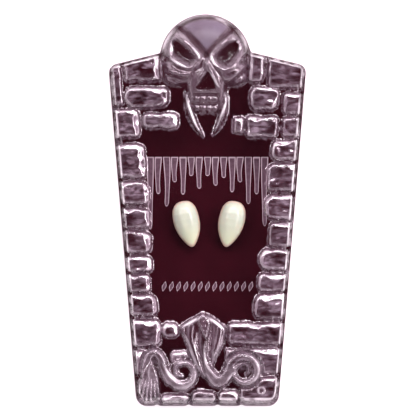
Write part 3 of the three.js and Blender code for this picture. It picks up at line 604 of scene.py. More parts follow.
def cover_level(x, y, stone_rise):
    """The cover's outer level over the plan, and the distances that its finish is laid out by."""
    coffin = edge_distance(x, y)
    skull_edge = skull_distance(x, y)
    stones, inset = stones_relief(x, y, stone_rise)
    stones = stones + np.where(inset > 0.5, BUTTON_RISE * bell(ring_gap(x, y), 0.32), 0)
    low = y < SERPENT_REACH
    serpent = np.zeros_like(x)
    serpent_inset = np.full_like(x, -5.0)
    serpent[low], serpent_inset[low] = serpent_relief(x[low], y[low])
    stones = stones * smooth_step(-0.2, -1.0, serpent_inset)
    top = WINDOW_Z + np.maximum(stones, serpent)
    standing = smooth_step(-0.3, 0.7, inset)
    recess = JOINT_DEPTH * (1 - standing)
    wall = FLANGE_Z + np.maximum(coffin - FLANGE_WIDTH - recess, 0) / WALL_LEAN
    level = np.maximum(smooth_min(wall, top, 0.5), FLANGE_Z)
    high = skull_edge > -16
    skull = np.full_like(x, -np.inf)
    hollow = np.full_like(x, -5.0)
    skull[high], hollow[high] = skull_relief(x[high], y[high])
    on_skull = (skull > level) & (skull > FLANGE_Z + 0.01)
    level = np.maximum(level, np.where(on_skull, skull, -np.inf))
    marks = {
        "outline": np.maximum(coffin, skull_edge),
        "coffin": coffin,
        "inset": inset,
        "hollow": hollow,
        "skull": on_skull.astype(float),
        "serpent": smooth_step(-0.1, 0.3, serpent_inset),
        "serpent_inset": serpent_inset,
    }
    return level, marks


def blurred(field, taps):
    """The mean of a field over a square of (2 taps + 1) grid places, by running along each way."""
    for axis in (0, 1):
        padded = np.pad(field, [(taps, taps) if a == axis else (0, 0) for a in (0, 1)], mode="edge")
        size = field.shape[axis]
        parts = [np.take(padded, np.arange(k, k + size), axis=axis) for k in range(2 * taps + 1)]
        field = sum(parts) / len(parts)
    return field


def grid_normals(points):
    """Unit normals of a grid of points, from the cross product of its two directions."""
    along_rows = np.gradient(points, axis=1)
    along_columns = np.gradient(points, axis=0)
    normals = np.cross(along_rows, along_columns)
    return normals / np.maximum(np.linalg.norm(normals, axis=2, keepdims=True), 1e-12)


def loop_of(rows, columns, first):
    """Vertex numbers round a grid's edge, counter-clockwise as seen from above."""
    number = first + np.arange(rows * columns).reshape(rows, columns)
    return np.concatenate([number[0, :-1], number[:-1, -1], number[-1, :0:-1], number[:0:-1, 0]])


def grid_faces(rows, columns, first):
    """The four-cornered faces of a grid of vertices, facing up."""
    number = first + np.arange(rows * columns).reshape(rows, columns)
    corners = (number[:-1, :-1], number[:-1, 1:], number[1:, 1:], number[1:, :-1])
    return np.stack([c.ravel() for c in corners], axis=1)


def closed_sheet(top, bottom):
    """Vertices and faces of a closed sheet: a top grid, a bottom grid and the strip between their edges.

    The bottom grid has as many places as the top one, or every second one of them."""
    rows, columns = top.shape[:2]
    low_rows, low_columns = bottom.shape[:2]
    first = rows * columns
    vertices = np.concatenate([top.reshape(-1, 3), bottom.reshape(-1, 3)])
    faces = [grid_faces(rows, columns, 0), grid_faces(low_rows, low_columns, first)[:, ::-1]]
    outer, inner = loop_of(rows, columns, 0), loop_of(low_rows, low_columns, first)
    onward = np.roll(inner, -1)
    if len(outer) == len(inner):
        faces.append(np.stack([outer, inner, onward, np.roll(outer, -1)], axis=1))
        return vertices, faces
    even, odd, next_even = outer[0::2], outer[1::2], np.roll(outer[0::2], -1)
    for triangle in ((even, inner, odd), (odd, inner, onward), (odd, onward, next_even)):
        faces.append(np.stack(triangle, axis=1))
    return vertices, faces


def new_piece(name, vertices, faces, material, attributes=None, sharp=40.0):
    """Makes a mesh object from arrays in millimetres, smooth but for edges past the sharp angle."""
    mesh = bpy.data.meshes.new(name)
    faces = [f for f in faces if len(f)]
    corners = np.concatenate([f.ravel() for f in faces]).astype(np.int32)
    sizes = np.concatenate([np.full(len(f), f.shape[1]) for f in faces]).astype(np.int32)
    mesh.vertices.add(len(vertices))
    mesh.vertices.foreach_set("co", np.asarray(vertices * MM, np.float32).ravel())
    mesh.loops.add(len(corners))
    mesh.loops.foreach_set("vertex_index", corners)
    mesh.polygons.add(len(sizes))
    mesh.polygons.foreach_set("loop_start", np.concatenate([[0], np.cumsum(sizes)[:-1]]).astype(np.int32))
    mesh.polygons.foreach_set("loop_total", sizes)
    mesh.update(calc_edges=True)
    mesh.validate()
    for key, values in (attributes or {}).items():
        layer = mesh.attributes.new(key, "FLOAT", "POINT")
        layer.data.foreach_set("value", np.asarray(values, np.float32).ravel())
    mesh.polygons.foreach_set("use_smooth", np.ones(len(mesh.polygons), bool))
    mesh.set_sharp_from_angle(angle=math.radians(sharp))
    mesh.materials.append(material)
    piece = bpy.data.objects.new(name, mesh)
    bpy.context.scene.collection.objects.link(piece)
    return piece


def cover_piece(settings, material):
    """The clear cover: its level over the plan grid, and under it the same face moved in by the sheet.

    Each vertex carries five masks. line is painted highlight on crests, edges and chosen paths, slope is a
    face that leans and so mirrors the lights, haze is how milky the moulded face is, cut back as painted
    shade in its dips and hollows, plate is the skull's smooth matt brow, and dull is where the sheet mirrors
    nothing."""
    x, y = plan_grid(*COVER_GRID)
    z, marks = cover_level(x, y, settings.stone_rise / MM)
    z = np.where(marks["outline"] < 0.02, FLANGE_Z, z)
    top = np.stack([x, y, z], axis=2)
    normals = grid_normals(top)
    masks = cover_masks(x, y, z, normals, marks)
    thin = settings.sheet_thickness / MM
    inner_normals = np.stack([blurred(normals[:, :, k], 1) for k in range(3)], axis=2)
    inner_normals /= np.linalg.norm(inner_normals, axis=2, keepdims=True)
    flat = (marks["outline"] < FLANGE_WIDTH)[:, :, None]
    inner_normals = np.where(flat, (0.0, 0.0, 1.0), inner_normals)
    bottom = (top - thin * inner_normals)[::2, ::2]
    bottom[:, :, 2] = np.maximum(bottom[:, :, 2], RIM_Z)
    vertices, faces = closed_sheet(top, bottom)
    layers = {key: np.concatenate([mask.ravel(), mask[::2, ::2].ravel()]) for key, mask in masks.items()}
    return new_piece("moulded_cover", vertices, faces, material, layers, sharp=75)


RIDGE_HEIGHT = 0.28  # how far a full crest stands above the mean of what lies round it

# Painted highlights along the skull's crests and rims: a path, how strong it is and how wide
SKULL_PAINTED_HIGHLIGHTS = (
    (((-0.83, 0.05), (-0.7, -0.07), (-0.545, -0.165), (-0.37, -0.235)), 1.0, 0.036),
    (((-0.33, 0.27), (-0.22, 0.14), (-0.14, 0.03), (-0.17, -0.06)), 0.85, 0.032),
    (((0.15, 0.13), (0.135, 0.01), (0.2, -0.12), (0.3, -0.215)), 1.0, 0.038),
    (((0.57, 0.43), (0.64, 0.435), (0.71, 0.41)), 0.8, 0.022),
    (((0.08, -0.31), (0.18, -0.44), (0.27, -0.6), (0.34, -0.68)), 0.8, 0.032),
    (((0.01, -0.05), (0.02, -0.12), (0.045, -0.2)), 0.55, 0.028),
    (((-0.3, -0.4), (-0.39, -0.58), (-0.38, -0.75)), 0.4, 0.018),
    (((-0.46, -0.74), (-0.4, -1.0), (-0.3, -1.28), (-0.2, -1.52), (-0.08, -1.72)), 1.0, 0.036),
    (((0.49, -0.75), (0.47, -0.98), (0.4, -1.18), (0.32, -1.37), (0.21, -1.63)), 1.0, 0.032),
    (((-0.97, -0.45), (-0.88, -0.58), (-0.66, -0.625), (-0.5, -0.65)), 0.5, 0.018),
    (((0.54, -0.64), (0.74, -0.62), (0.89, -0.57), (0.97, -0.44)), 0.65, 0.024),
    (((-0.62, 0.56), (-0.75, 0.43), (-0.82, 0.22), (-0.83, 0.07)), 0.35, 0.026),
    (((-0.61, 0.56), (-0.48, 0.45), (-0.33, 0.27)), 0.4, 0.03),
    (((0.15, 0.14), (0.28, 0.29), (0.48, 0.47)), 0.35, 0.03),
    (((0.22, 0.93), (0.38, 0.87), (0.53, 0.75)), 0.75, 0.016),
    (((-0.56, 0.81), (-0.41, 0.9), (-0.2, 0.96)), 0.3, 0.014),
    (((-0.97, 0.2), (-0.9, 0.42), (-0.74, 0.67)), 0.5, 0.055),
    (((0.95, 0.22), (0.9, 0.42), (0.8, 0.58)), 0.4, 0.045),
)
# Painted highlights along the serpent's edges and coils: a path, how strong it is and how wide
SERPENT_PAINTED_HIGHLIGHTS = (
    (((-0.37, 0.84), (-0.275, 0.887), (-0.16, 0.935), (-0.08, 0.965)), 1.0, 0.022),
    (((-0.02, 0.965), (0.115, 0.9), (0.245, 0.83)), 0.95, 0.02),
    (((-0.345, 0.8), (-0.275, 0.68), (-0.175, 0.48), (-0.085, 0.36)), 0.9, 0.02),
    (((-0.03, 0.7), (-0.042, 0.56), (0.0, 0.44), (0.1, 0.34)), 0.9, 0.02),
    (((0.22, 0.76), (0.19, 0.64), (0.13, 0.54), (0.108, 0.45), (0.13, 0.385)), 0.85, 0.02),
    (((0.13, 0.385), (0.2, 0.455), (0.31, 0.53)), 0.75, 0.018),
    (((-0.63, 0.48), (-0.545, 0.37), (-0.445, 0.3), (-0.34, 0.262)), 1.0, 0.026),
    (((-0.69, 0.605), (-0.61, 0.525), (-0.56, 0.45)), 0.65, 0.022),
    (((-0.52, 0.45), (-0.42, 0.48), (-0.29, 0.475), (-0.23, 0.43)), 0.6, 0.022),
    (((-0.8, 0.45), (-0.82, 0.37), (-0.8, 0.28)), 0.6, 0.018),
    (((0.25, 0.26), (0.33, 0.34), (0.43, 0.4)), 0.7, 0.018),
    (((0.49, 0.556), (0.634, 0.529), (0.715, 0.442), (0.72, 0.355), (0.641, 0.268), (0.476, 0.22),
      (0.289, 0.203)), 0.62, 0.04),
    (((0.289, 0.203), (0.145, 0.214), (0.01, 0.265), (-0.07, 0.33)), 0.52, 0.032),
    (((-0.23, 0.464), (-0.172, 0.355), (-0.215, 0.252), (-0.33, 0.205), (-0.474, 0.205), (-0.61, 0.235)),
     0.58, 0.036),
)


def gleams(u, v, table):
    """How strongly each point lies on one of the table's paths, which taper towards both ends."""
    strength = np.zeros_like(u)
    for path, power, width in table:
        gap, place = path_distance(u, v, curve_through(path, 6))
        taper = 0.3 + 0.7 * np.sin(np.pi * np.clip(place, 0.02, 0.98)) ** 0.6
        strength = np.maximum(strength, power * bell(gap, width * taper) * taper)
    return strength


def finish_fields(x, y, z, normals, marks):
    """What the masks are made from: the marks, how each face leans, where it crests, places in the
    charts of the skull and the serpent, and wandering noise."""
    m = SimpleNamespace(**marks)
    m.x, m.y = x, y
    m.lean = 1 - np.clip(normals[:, :, 2], 0, 1)
    m.ridge = np.clip((z - blurred(z, 3)) / RIDGE_HEIGHT, -1.5, 1.5)
    m.wander = soft_noise(x, y, 4.3, 11) * 0.6 + soft_noise(x, y, 1.7, 12) * 0.4
    m.broken = np.clip(0.75 + 0.6 * m.wander, 0.1, 1)
    m.streak = soft_noise(x * 0.55 + y * 0.2, y * 1.5, 1.5, 14) * 0.6
    m.streak += soft_noise(x * 0.6, y * 1.6, 0.8, 15) * 0.4
    m.blotch = soft_noise(x, y * 0.6, 1.3, 16) * 0.7 + soft_noise(x, y, 0.7, 17) * 0.5
    m.wall = smooth_step(2.0, 1.5, m.coffin) * (1 - m.skull)
    m.sx, m.sy = skull_shares(x, y)
    reach = np.hypot(m.sx, m.sy)
    m.crown = m.skull * bell(reach - 0.935, 0.04) * smooth_step(0.15, 0.45, m.sy)
    m.in_hollow = smooth_step(-0.2, 0.6, m.hollow)
    m.plate = smooth_step(0.0, 0.1, m.sy - 0.12 - 1.1 * np.abs(m.sx - 0.03))
    m.plate *= smooth_step(0.92, 0.86, reach) * m.skull
    m.crease = np.zeros_like(x)
    for path, _, _ in SKULL_LINES[:BROW_CREASES]:
        gap, _ = path_distance(m.sx, m.sy, curve_through(path, 6))
        m.crease = np.maximum(m.crease, bell(gap, 0.055) * m.skull)
    m.across, m.up = x / (FOOT_WIDTH / 2), (y - FOOT_Y) / SERPENT_HEIGHT
    m.hood = smooth_step(0.35, 0.6, m.up) * m.serpent
    return m


def slope_mask(m):
    """Where a face leans enough to mirror the lights: less so on steep sides, the skull and the serpent."""
    slope = smooth_step(0.012, 0.06, m.lean)
    slope *= 1 - (0.6 + 0.3 * m.skull) * smooth_step(0.3, 0.62, m.lean)
    slope *= (1 - m.in_hollow * m.skull) * (1 - m.crown)
    slope *= (1 - 0.55 * m.skull) * (1 - 0.35 * m.serpent) * (1 - 0.3 * m.hood) * (1 - 0.6 * m.crease)
    return slope * (1 - m.wall) + m.wall * np.clip(0.05 + 0.5 * m.blotch, 0.0, 0.4)


def painted_highlight_mask(m):
    """Painted highlights: on crests, along the wall's top, along the paths of the skull's and the serpent's
    highlight tables, round the button's ring and over the serpent's lower coils and tail, with a faint even
    pale band on the flange.
    """
    # Painted highlight along the crests, broken up by noise.
    crest = smooth_step(0.45, 1.2, m.ridge) * m.broken * smooth_step(0.55, 0.3, m.lean) * (1 - m.wall)
    # Painted highlight along the top of the wall.
    wall_top_highlight = bell(m.coffin - 1.95, 0.26) * (1 - m.skull) * np.clip(0.85 + 0.6 * m.wander, 0.3, 1)
    line = np.maximum(0.35 * crest * (1 - 0.6 * m.skull), wall_top_highlight * smooth_step(-0.2, 0.6, m.inset))
    # Painted highlights along the skull's paths.
    line = np.maximum(line, gleams(m.sx, m.sy, SKULL_PAINTED_HIGHLIGHTS) * m.skull * (0.5 + 0.5 * m.broken))
    # Painted highlight round the button's ring.
    line = np.maximum(line, 0.7 * bell(ring_gap(m.x, m.y), 0.26))
    low = m.y < SERPENT_REACH
    # Painted highlights along the serpent's paths.
    shine = gleams(m.across[low], m.up[low], SERPENT_PAINTED_HIGHLIGHTS) * (m.serpent * (0.4 + 0.6 * m.broken))[low]
    line[low] = np.maximum(line[low], shine)
    # Painted highlight over the serpent's lower coils and tail.
    pale = 0.2 * smooth_step(0.6, 0.35, m.up) + 0.15 * smooth_step(-0.55, -0.7, m.across)
    line = np.maximum(line, pale * m.serpent * m.broken)
    flange = smooth_step(FLANGE_WIDTH, 0.15, m.outline)
    return line * (1 - flange) + 0.2 * flange


def haze_mask(m):
    """How milky the sheet is: streaked on the stones and patchy on the walls. The haze is cut back as
    painted shade in every dip, in the sockets and nose, in the brow's creases, along the crown's rim and
    over the jaw, and raised as painted light on the lower floor of each socket.
    """
    haze = smooth_step(0.2, 1.2, m.inset) * np.clip(0.42 + 0.6 * m.streak + 0.25 * m.wander, 0.0, 1)
    # Painted shade: less haze in every dip.
    dark = 0.45 * np.maximum(-m.ridge, 0)
    body = 0.32 + 0.85 * smooth_step(1.9, 0.9, m.serpent_inset) + 0.3 * m.streak + 0.2 * m.wander - dark
    haze = np.where(m.serpent > 0.5, np.clip(body * (1 - 0.25 * m.hood), 0.02, 1), haze)
    # Where the jaw lies, below the nose; its haze is cut back as painted shade.
    jaw = smooth_step(-0.25, -0.5, m.sy) * smooth_step(0.5, 0.4, np.abs(m.sx))
    bone = np.clip(0.42 + 0.3 * m.streak + 0.25 * m.wander - dark, 0.02, 1)
    # Painted shade: less haze over the jaw and along the crown's rim.
    bone = bone * (1 - 0.65 * jaw) * (1 - m.crown)
    # Painted shade in the sockets, the nose and the brow's creases.
    bone *= smooth_step(0.6, -0.4, m.hollow) * (1 - 0.6 * m.crease)
    # Painted light: the lower floor of each socket is made paler.
    lit_socket_floor = m.in_hollow * smooth_step(0.22, -0.02, m.sy) * (m.sy > -0.25)
    bone = np.maximum(bone, lit_socket_floor * np.clip(0.26 + 0.2 * m.wander, 0, 1))
    haze = haze * (1 - m.skull) + bone * m.skull
    foot_wall = smooth_step(FOOT_Y + 6, FOOT_Y + 2, m.y)
    return haze * (1 - m.wall) + m.wall * np.clip(0.15 + 0.8 * foot_wall + 0.6 * m.blotch, 0, 1)


def cover_masks(x, y, z, normals, marks):
    """The cover's five masks. The matt brow takes the place of the first three where it lies."""
    m = finish_fields(x, y, z, normals, marks)
    clear = 1 - m.plate
    return {
        "line": np.clip(painted_highlight_mask(m) * clear, 0, 1),
        "slope": slope_mask(m) * clear,
        "haze": np.clip(haze_mask(m) * clear, 0, 1),
        "plate": m.plate * np.clip(0.85 + 0.2 * m.wander, 0, 1),
        "dull": np.maximum(m.plate, m.crease),
    }


def card_piece(material):
    """The card: the plan grid at its two faces, with sides that lean in a little to the front."""
    x, y = plan_grid(*CARD_GRID)
    centre_y = FOOT_Y + PACK_LENGTH / 2
    inward = np.zeros_like(x)
    inward[[0, -1], :] = 1
    inward[:, [0, -1]] = 1
    ease = CARD_EASE * inward
    front_x, front_y = x - ease * np.sign(x), y - ease * np.sign(y - centre_y)
    front = np.stack([front_x, front_y, np.full_like(x, CARD_TOP)], axis=2)
    back = np.stack([x, y, np.zeros_like(x)], axis=2)
    vertices, faces = closed_sheet(front, back)
    return new_piece("printed_card", vertices, faces, material, sharp=35)


def print_patch(centre, half, along):
    """A printed patch's grid: seven places across a centre line, whose middle five are its fill."""
    across = np.array((-1, -0.78, -0.68, 0, 0.68, 0.78, 1))
    x = centre[:, None] + across[None, :] * half[:, None]
    y = np.repeat(along[:, None], len(across), axis=1)
    outline = np.repeat(np.where(np.abs(across) > 0.7, 1.0, 0.0)[None, :], len(along), axis=0)
    ends = np.minimum(np.abs(along - along[0]), np.abs(along - along[-1])) < PRINT_OUTLINE
    outline[ends] = 1.0
    return x, y, outline


def drip_patches():
    """Drips that hang from one straight line, longer towards both ends of it, each bowed a little
    and narrowing to a round end."""
    tip = 1 - 0.1 * (1 - np.sin(np.linspace(0.1, 1, 9) * np.pi / 2))
    t = np.concatenate([[0, 0.02], np.linspace(0.05, 0.9, 16), tip])
    rng = np.random.default_rng(21)
    for number, x in enumerate(np.linspace(-DRIP_REACH, DRIP_REACH, DRIP_COUNT)):
        deep = DRIP_SHORT + (DRIP_LONG - DRIP_SHORT) * np.abs(x / DRIP_REACH) ** 2.2
        length = deep * (1 if number % 2 == 0 else DRIP_SHARE) * rng.uniform(0.92, 1.05)
        half = DRIP_WIDTH / 2 * (1 - 0.42 * smooth_step(0.0, 0.8, t))
        half = half * np.sqrt(np.maximum(1 - np.clip((t - 0.9) / 0.1, 0, 1) ** 2, 1e-4))
        bow = rng.uniform(-DRIP_BOW, DRIP_BOW) * np.sin(np.pi * t)
        yield print_patch(x + bow, half, DRIP_TOP - length * t)


def lozenge_patches():
    """A row of small slanted lozenges."""
    t = np.array((0, 0.08, 0.2, 0.35, 0.5, 0.65, 0.8, 0.92, 1))
    for x in np.linspace(-LOZENGE_REACH, LOZENGE_REACH, LOZENGE_COUNT):
        half = np.maximum(LOZENGE_WIDTH / 2 * (1 - np.abs(2 * t - 1) ** 1.5), 0.02)
        yield print_patch(x + LOZENGE_SLANT * (0.5 - t), half, LOZENGE_Y + LOZENGE_HEIGHT * (0.5 - t))


def ornament_piece(material):
    """The card's printed ornament: closed patches of thick ink, whose line mask is 1 on their outline."""
    vertices, faces, lines = [], {3: [], 4: []}, []
    first = 0
    for x, y, outline in (*drip_patches(), *lozenge_patches()):
        front = np.stack([x, y, np.full_like(x, CARD_TOP + INK_HEIGHT)], axis=2)
        back = np.stack([x, y, np.full_like(x, CARD_TOP - INK_HEIGHT)], axis=2)
        points, patches = closed_sheet(front[::-1], back[::-1])
        vertices.append(points)
        for patch in patches:
            faces[patch.shape[1]].append(patch + first)
        lines.append(np.concatenate([outline[::-1].ravel()] * 2))
        first += len(points)
    groups = [np.concatenate(group) for group in faces.values() if group]
    mask = {"line": np.concatenate(lines)}
    return new_piece("printed_ornament", np.concatenate(vertices), groups, material, mask, sharp=30)


# A cap's form along its length, from the gum end to the tip: places, half width and depth as shares
CAP_ALONG = (0, 0.01, 0.03, 0.08, 0.16, 0.27, 0.4, 0.54, 0.67, 0.79, 0.89, 0.96, 0.99, 1)
CAP_HALF = (0, 0.31, 0.5, 0.71, 0.88, 0.97, 1, 0.965, 0.85, 0.665, 0.45, 0.255, 0.13, 0)
CAP_DEPTH = (0, 0.3, 0.46, 0.66, 0.85, 0.97, 1, 0.945, 0.8, 0.6, 0.39, 0.23, 0.12, 0)
CAP_FRONT = 5.0  # depth in front of the widest line
CAP_BACK = 2.6  # depth behind it
CAP_BEND = 0.035  # how far the tip leans to the side, as a share of the width
CAP_MIDDLE = 0.12  # how far the rays' middle lies above half way, as a share of the length
CAP_TURNS = 112
FRONT_RINGS = 30
BACK_RINGS = 9
SOCKET_RINGS = 14


def cap_ring(length, width, side):
    """The cap's outline seen from the front, as unit rays from the middle and the distance along each."""
    turn = np.linspace(0, 2 * np.pi, CAP_TURNS, endpoint=False)
    fine = np.linspace(0, 1, 181)
    bend = CAP_BEND * width * smooth_step(0.2, 0.9, fine)
    half = np.interp(fine, CAP_ALONG, CAP_HALF) * width / 2
    edge_right = np.stack([side * bend + half, (0.5 - fine) * length], axis=1)
    edge_left = np.stack([side * bend - half, (0.5 - fine) * length], axis=1)
    outline = np.concatenate([edge_right, edge_left[::-1]])
    middle = np.array((0.0, CAP_MIDDLE * length))
    angles = np.mod(np.unwrap(np.arctan2(outline[:, 1] - middle[1], outline[:, 0] - middle[0])), 2 * np.pi)
    reach = np.hypot(*(outline - middle).T)
    order = np.argsort(angles)
    ring = np.interp(turn, angles[order], reach[order], period=2 * np.pi)
    return middle, ring, np.stack([np.cos(turn), np.sin(turn)], axis=1)


def cap_rings(length, width, wall, side):
    """The cap's rings of points from the front pole to the socket's end, and where its edge is thin."""
    middle, ring, ray = cap_ring(length, width, side)

    def plan(share):
        return middle + (share * ring)[:, None] * ray

    def section(points, full):
        s = np.clip(0.5 - points[:, 1] / length, 0, 1)
        centre = side * CAP_BEND * width * smooth_step(0.2, 0.9, s)
        w = np.maximum(np.interp(s, CAP_ALONG, CAP_HALF) * width / 2, 1e-3)
        out = np.clip((points[:, 0] - centre) / w, -1, 1)
        return np.interp(s, CAP_ALONG, CAP_DEPTH) * full * np.sqrt(1 - out**2), s, out

    rings, edge_mark = [], []
    for share in np.sin(np.linspace(0, np.pi / 2, FRONT_RINGS)):
        points = plan(np.full(CAP_TURNS, share))
        rise, s, out = section(points, CAP_FRONT)
        lobes = 0.16 * (bell(np.abs(out) - 0.42, 0.2) - 0.6 * bell(out, 0.22)) * smooth_step(0.05, 0.3, s)
        lobes *= smooth_step(0.75, 0.45, s) * smooth_step(1, 0.8, share)
        rings.append(np.column_stack([points, CAP_BACK + rise + lobes]))
        edge_mark.append(np.full(CAP_TURNS, share))
    s_ring = np.clip(0.5 - plan(np.ones(CAP_TURNS))[:, 1] / length, 0, 1)
    rim_share = np.clip(1 - wall / np.maximum(ring, wall + 0.3), 0.2, 0.97)
    mouth = np.where(s_ring < 0.5, rim_share, rim_share * 0.72)
    for share in np.linspace(0, 1, BACK_RINGS)[1:]:
        points = plan(1 + (mouth - 1) * share)
        drop, s, _ = section(points, CAP_BACK)
        rings.append(np.column_stack([points, CAP_BACK - drop * smooth_step(0.02, 0.22, s)]))
        edge_mark.append(np.ones(CAP_TURNS))
    floor = rings[-1]
    for share in np.sin(np.linspace(0, np.pi / 2, SOCKET_RINGS))[1:]:
        points = middle + (floor[:, :2] - middle) * (1 - share * 0.985)
        arch = np.sqrt(np.clip(1 - (1 - share) ** 2, 0, 1))
        rise, _, _ = section(points, CAP_FRONT - wall)
        roof = np.minimum(CAP_BACK + rise, CAP_BACK + CAP_FRONT - wall)
        rings.append(np.column_stack([points, floor[:, 2] + (roof - floor[:, 2]) * arch]))
        edge_mark.append(np.zeros(CAP_TURNS))
    return np.array(rings), np.array(edge_mark)


def fang_piece(name, side, settings, material):
    """A fang cap: from the front pole out to its widest line, under to its back rim and up into the socket.

    Along the cap its half width and its depth follow tables; round it each point lies on a ray from
    the middle, and in each section the front is half an ellipse. The cap lies inside its solid's box,
    against the box's inner side."""
    rings, edge_mark = cap_rings(
        settings.cap_length / MM, settings.cap_width / MM, settings.cap_wall / MM, side
    )
    poles = np.array([rings[0, 0], rings[-1].mean(axis=0)])
    vertices = np.concatenate([rings[1:].reshape(-1, 3), poles])
    marks = np.concatenate([edge_mark[1:].ravel(), [0.0, 0.0]])
    number = np.arange((len(rings) - 1) * CAP_TURNS).reshape(-1, CAP_TURNS)
    onward = np.roll(number, -1, axis=1)
    quads = np.stack([part.ravel() for part in (number[:-1], number[1:], onward[1:], onward[:-1])], axis=1)
    top_pole, low_pole = len(vertices) - 2, len(vertices) - 1
    caps = [
        np.stack([np.full(CAP_TURNS, top_pole), number[0], onward[0]], axis=1),
        np.stack([np.full(CAP_TURNS, low_pole), onward[-1], number[-1]], axis=1),
    ]
    tilt = math.radians(settings.cap_tilt_degrees) * side
    c, s = math.cos(tilt), math.sin(tilt)
    vertices[:, :2] = vertices[:, :2] @ np.array(((c, s), (-s, c)))
    low, high = (np.array(corner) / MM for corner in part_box(name))
    least, most = vertices.min(axis=0), vertices.max(axis=0)
    vertices += (low + high - least - most) / 2
    vertices[:, 0] += side * ((high[0] - low[0]) - (most[0] - least[0])) / 2
    tooth = {"side": marks, "along": np.clip((high[1] - vertices[:, 1]) / (high[1] - low[1]), 0, 1)}
    piece_name = name.replace("fang_cap", "ivory_cap")
    return new_piece(piece_name, vertices, [quads, *caps], material, tooth, sharp=60)


def shader_of(name):
    """A new node material, its node tree and its Principled shader."""
    material = bpy.data.materials.new(name)
    material.use_nodes = True
    tree = material.node_tree
    return material, tree, tree.nodes["Principled BSDF"]


def set_inputs(node, **values):
    """Sets a node's inputs, each named by its socket's name with underscores for its spaces."""
    for key, value in values.items():
        node.inputs[key.replace("_", " ")].default_value = value


def attribute(tree, name):
    node = tree.nodes.new("ShaderNodeAttribute")
    node.attribute_name = name
    return node.outputs["Fac"]


def feed(tree, socket, value):
    """Gives a socket its value: another socket, a number or a colour."""
    if isinstance(value, bpy.types.NodeSocket):
        tree.links.new(value, socket)
    elif isinstance(value, (int, float)):
        socket.default_value = value
    else:
        socket.default_value = (*value[:3], 1)


def maths(tree, operation, a, b, clamp=False):
    """A Math node of two inputs."""
    node = tree.nodes.new("ShaderNodeMath")
    node.operation = operation
    node.use_clamp = clamp
    for socket, value in zip(node.inputs, (a, b)):
        feed(tree, socket, value)
    return node.outputs[0]


def times(tree, a, b, clamp=False):
    return maths(tree, "MULTIPLY", a, b, clamp)


def greater(tree, a, b):
    return maths(tree, "MAXIMUM", a, b)


def mixed(tree, factor, a, b, blend="MIX"):
    """A Mix node for colours."""
    node = tree.nodes.new("ShaderNodeMix")
    node.data_type = "RGBA"
    node.blend_type = blend
    node.clamp_factor = True
    for key, value in (("Factor", factor), ("A", a), ("B", b)):
        feed(tree, node.inputs[key], value)
    return node.outputs["Result"]


def grain_group():
    """The grain that the finishes share: noise on Object coordinates, stretched along each axis."""
    group = bpy.data.node_groups.get("stretched_grain")
    if group:
        return group
    group = bpy.data.node_groups.new("stretched_grain", "ShaderNodeTree")
    group.interface.new_socket("Stretch", in_out="INPUT", socket_type="NodeSocketVector")
    for name in ("Scale", "Detail", "Distortion"):
        group.interface.new_socket(name, in_out="INPUT", socket_type="NodeSocketFloat")
    group.interface.new_socket("Mask", in_out="OUTPUT", socket_type="NodeSocketFloat")
    given, result = group.nodes.new("NodeGroupInput"), group.nodes.new("NodeGroupOutput")
    kinds = ("TexCoord", "Mapping", "TexNoise")
    coordinates, mapping, texture = (group.nodes.new("ShaderNode" + kind) for kind in kinds)
    join = group.links.new
    join(coordinates.outputs["Object"], mapping.inputs["Vector"])
    join(given.outputs["Stretch"], mapping.inputs["Scale"])
    join(mapping.outputs["Vector"], texture.inputs["Vector"])
    for name in ("Scale", "Detail", "Distortion"):
        join(given.outputs[name], texture.inputs[name])
    join(texture.outputs["Fac"], result.inputs["Mask"])
    return group


def grain(tree, scale, detail, stretch=(1, 1, 1), distortion=0.0):
    """The shared grain, placed in a material with its own values."""
    node = tree.nodes.new("ShaderNodeGroup")
    node.node_tree = grain_group()
    set_inputs(node, Stretch=stretch, Scale=scale, Detail=detail, Distortion=distortion)
    return node.outputs["Mask"]


def ramp(tree, value, low, high, to_low=0.0, to_high=1.0):
    """A Map Range node that eases between its two ends and is held at them."""
    node = tree.nodes.new("ShaderNodeMapRange")
    node.interpolation_type = "SMOOTHSTEP"
    set_inputs(node, From_Min=low, From_Max=high, To_Min=to_low, To_Max=to_high)
    tree.links.new(value, node.inputs["Value"])
    return node.outputs["Result"]


def feed_shader(tree, shader, height=None, strength=0.0, distance=0.0, **inputs):
    """Feeds the shader's inputs, and its normal from a bump map where a height is given."""
    for key, value in inputs.items():
        feed(tree, shader.inputs[key.replace("_", " ")], value)
    if height is None:
        return
    bump = tree.nodes.new("ShaderNodeBump")
    set_inputs(bump, Strength=strength, Distance=distance)
    tree.links.new(height, bump.inputs["Height"])
    tree.links.new(bump.outputs["Normal"], shader.inputs["Normal"])


# How much of the cover shows: the most that each kind of face covers, and the least of any
HAZE_COVER = 0.34
LEAN_COVER = 0.66
PLATE_COVER = 0.5
BARE_COVER = 0.006
GRAZING_COVER = 0.12


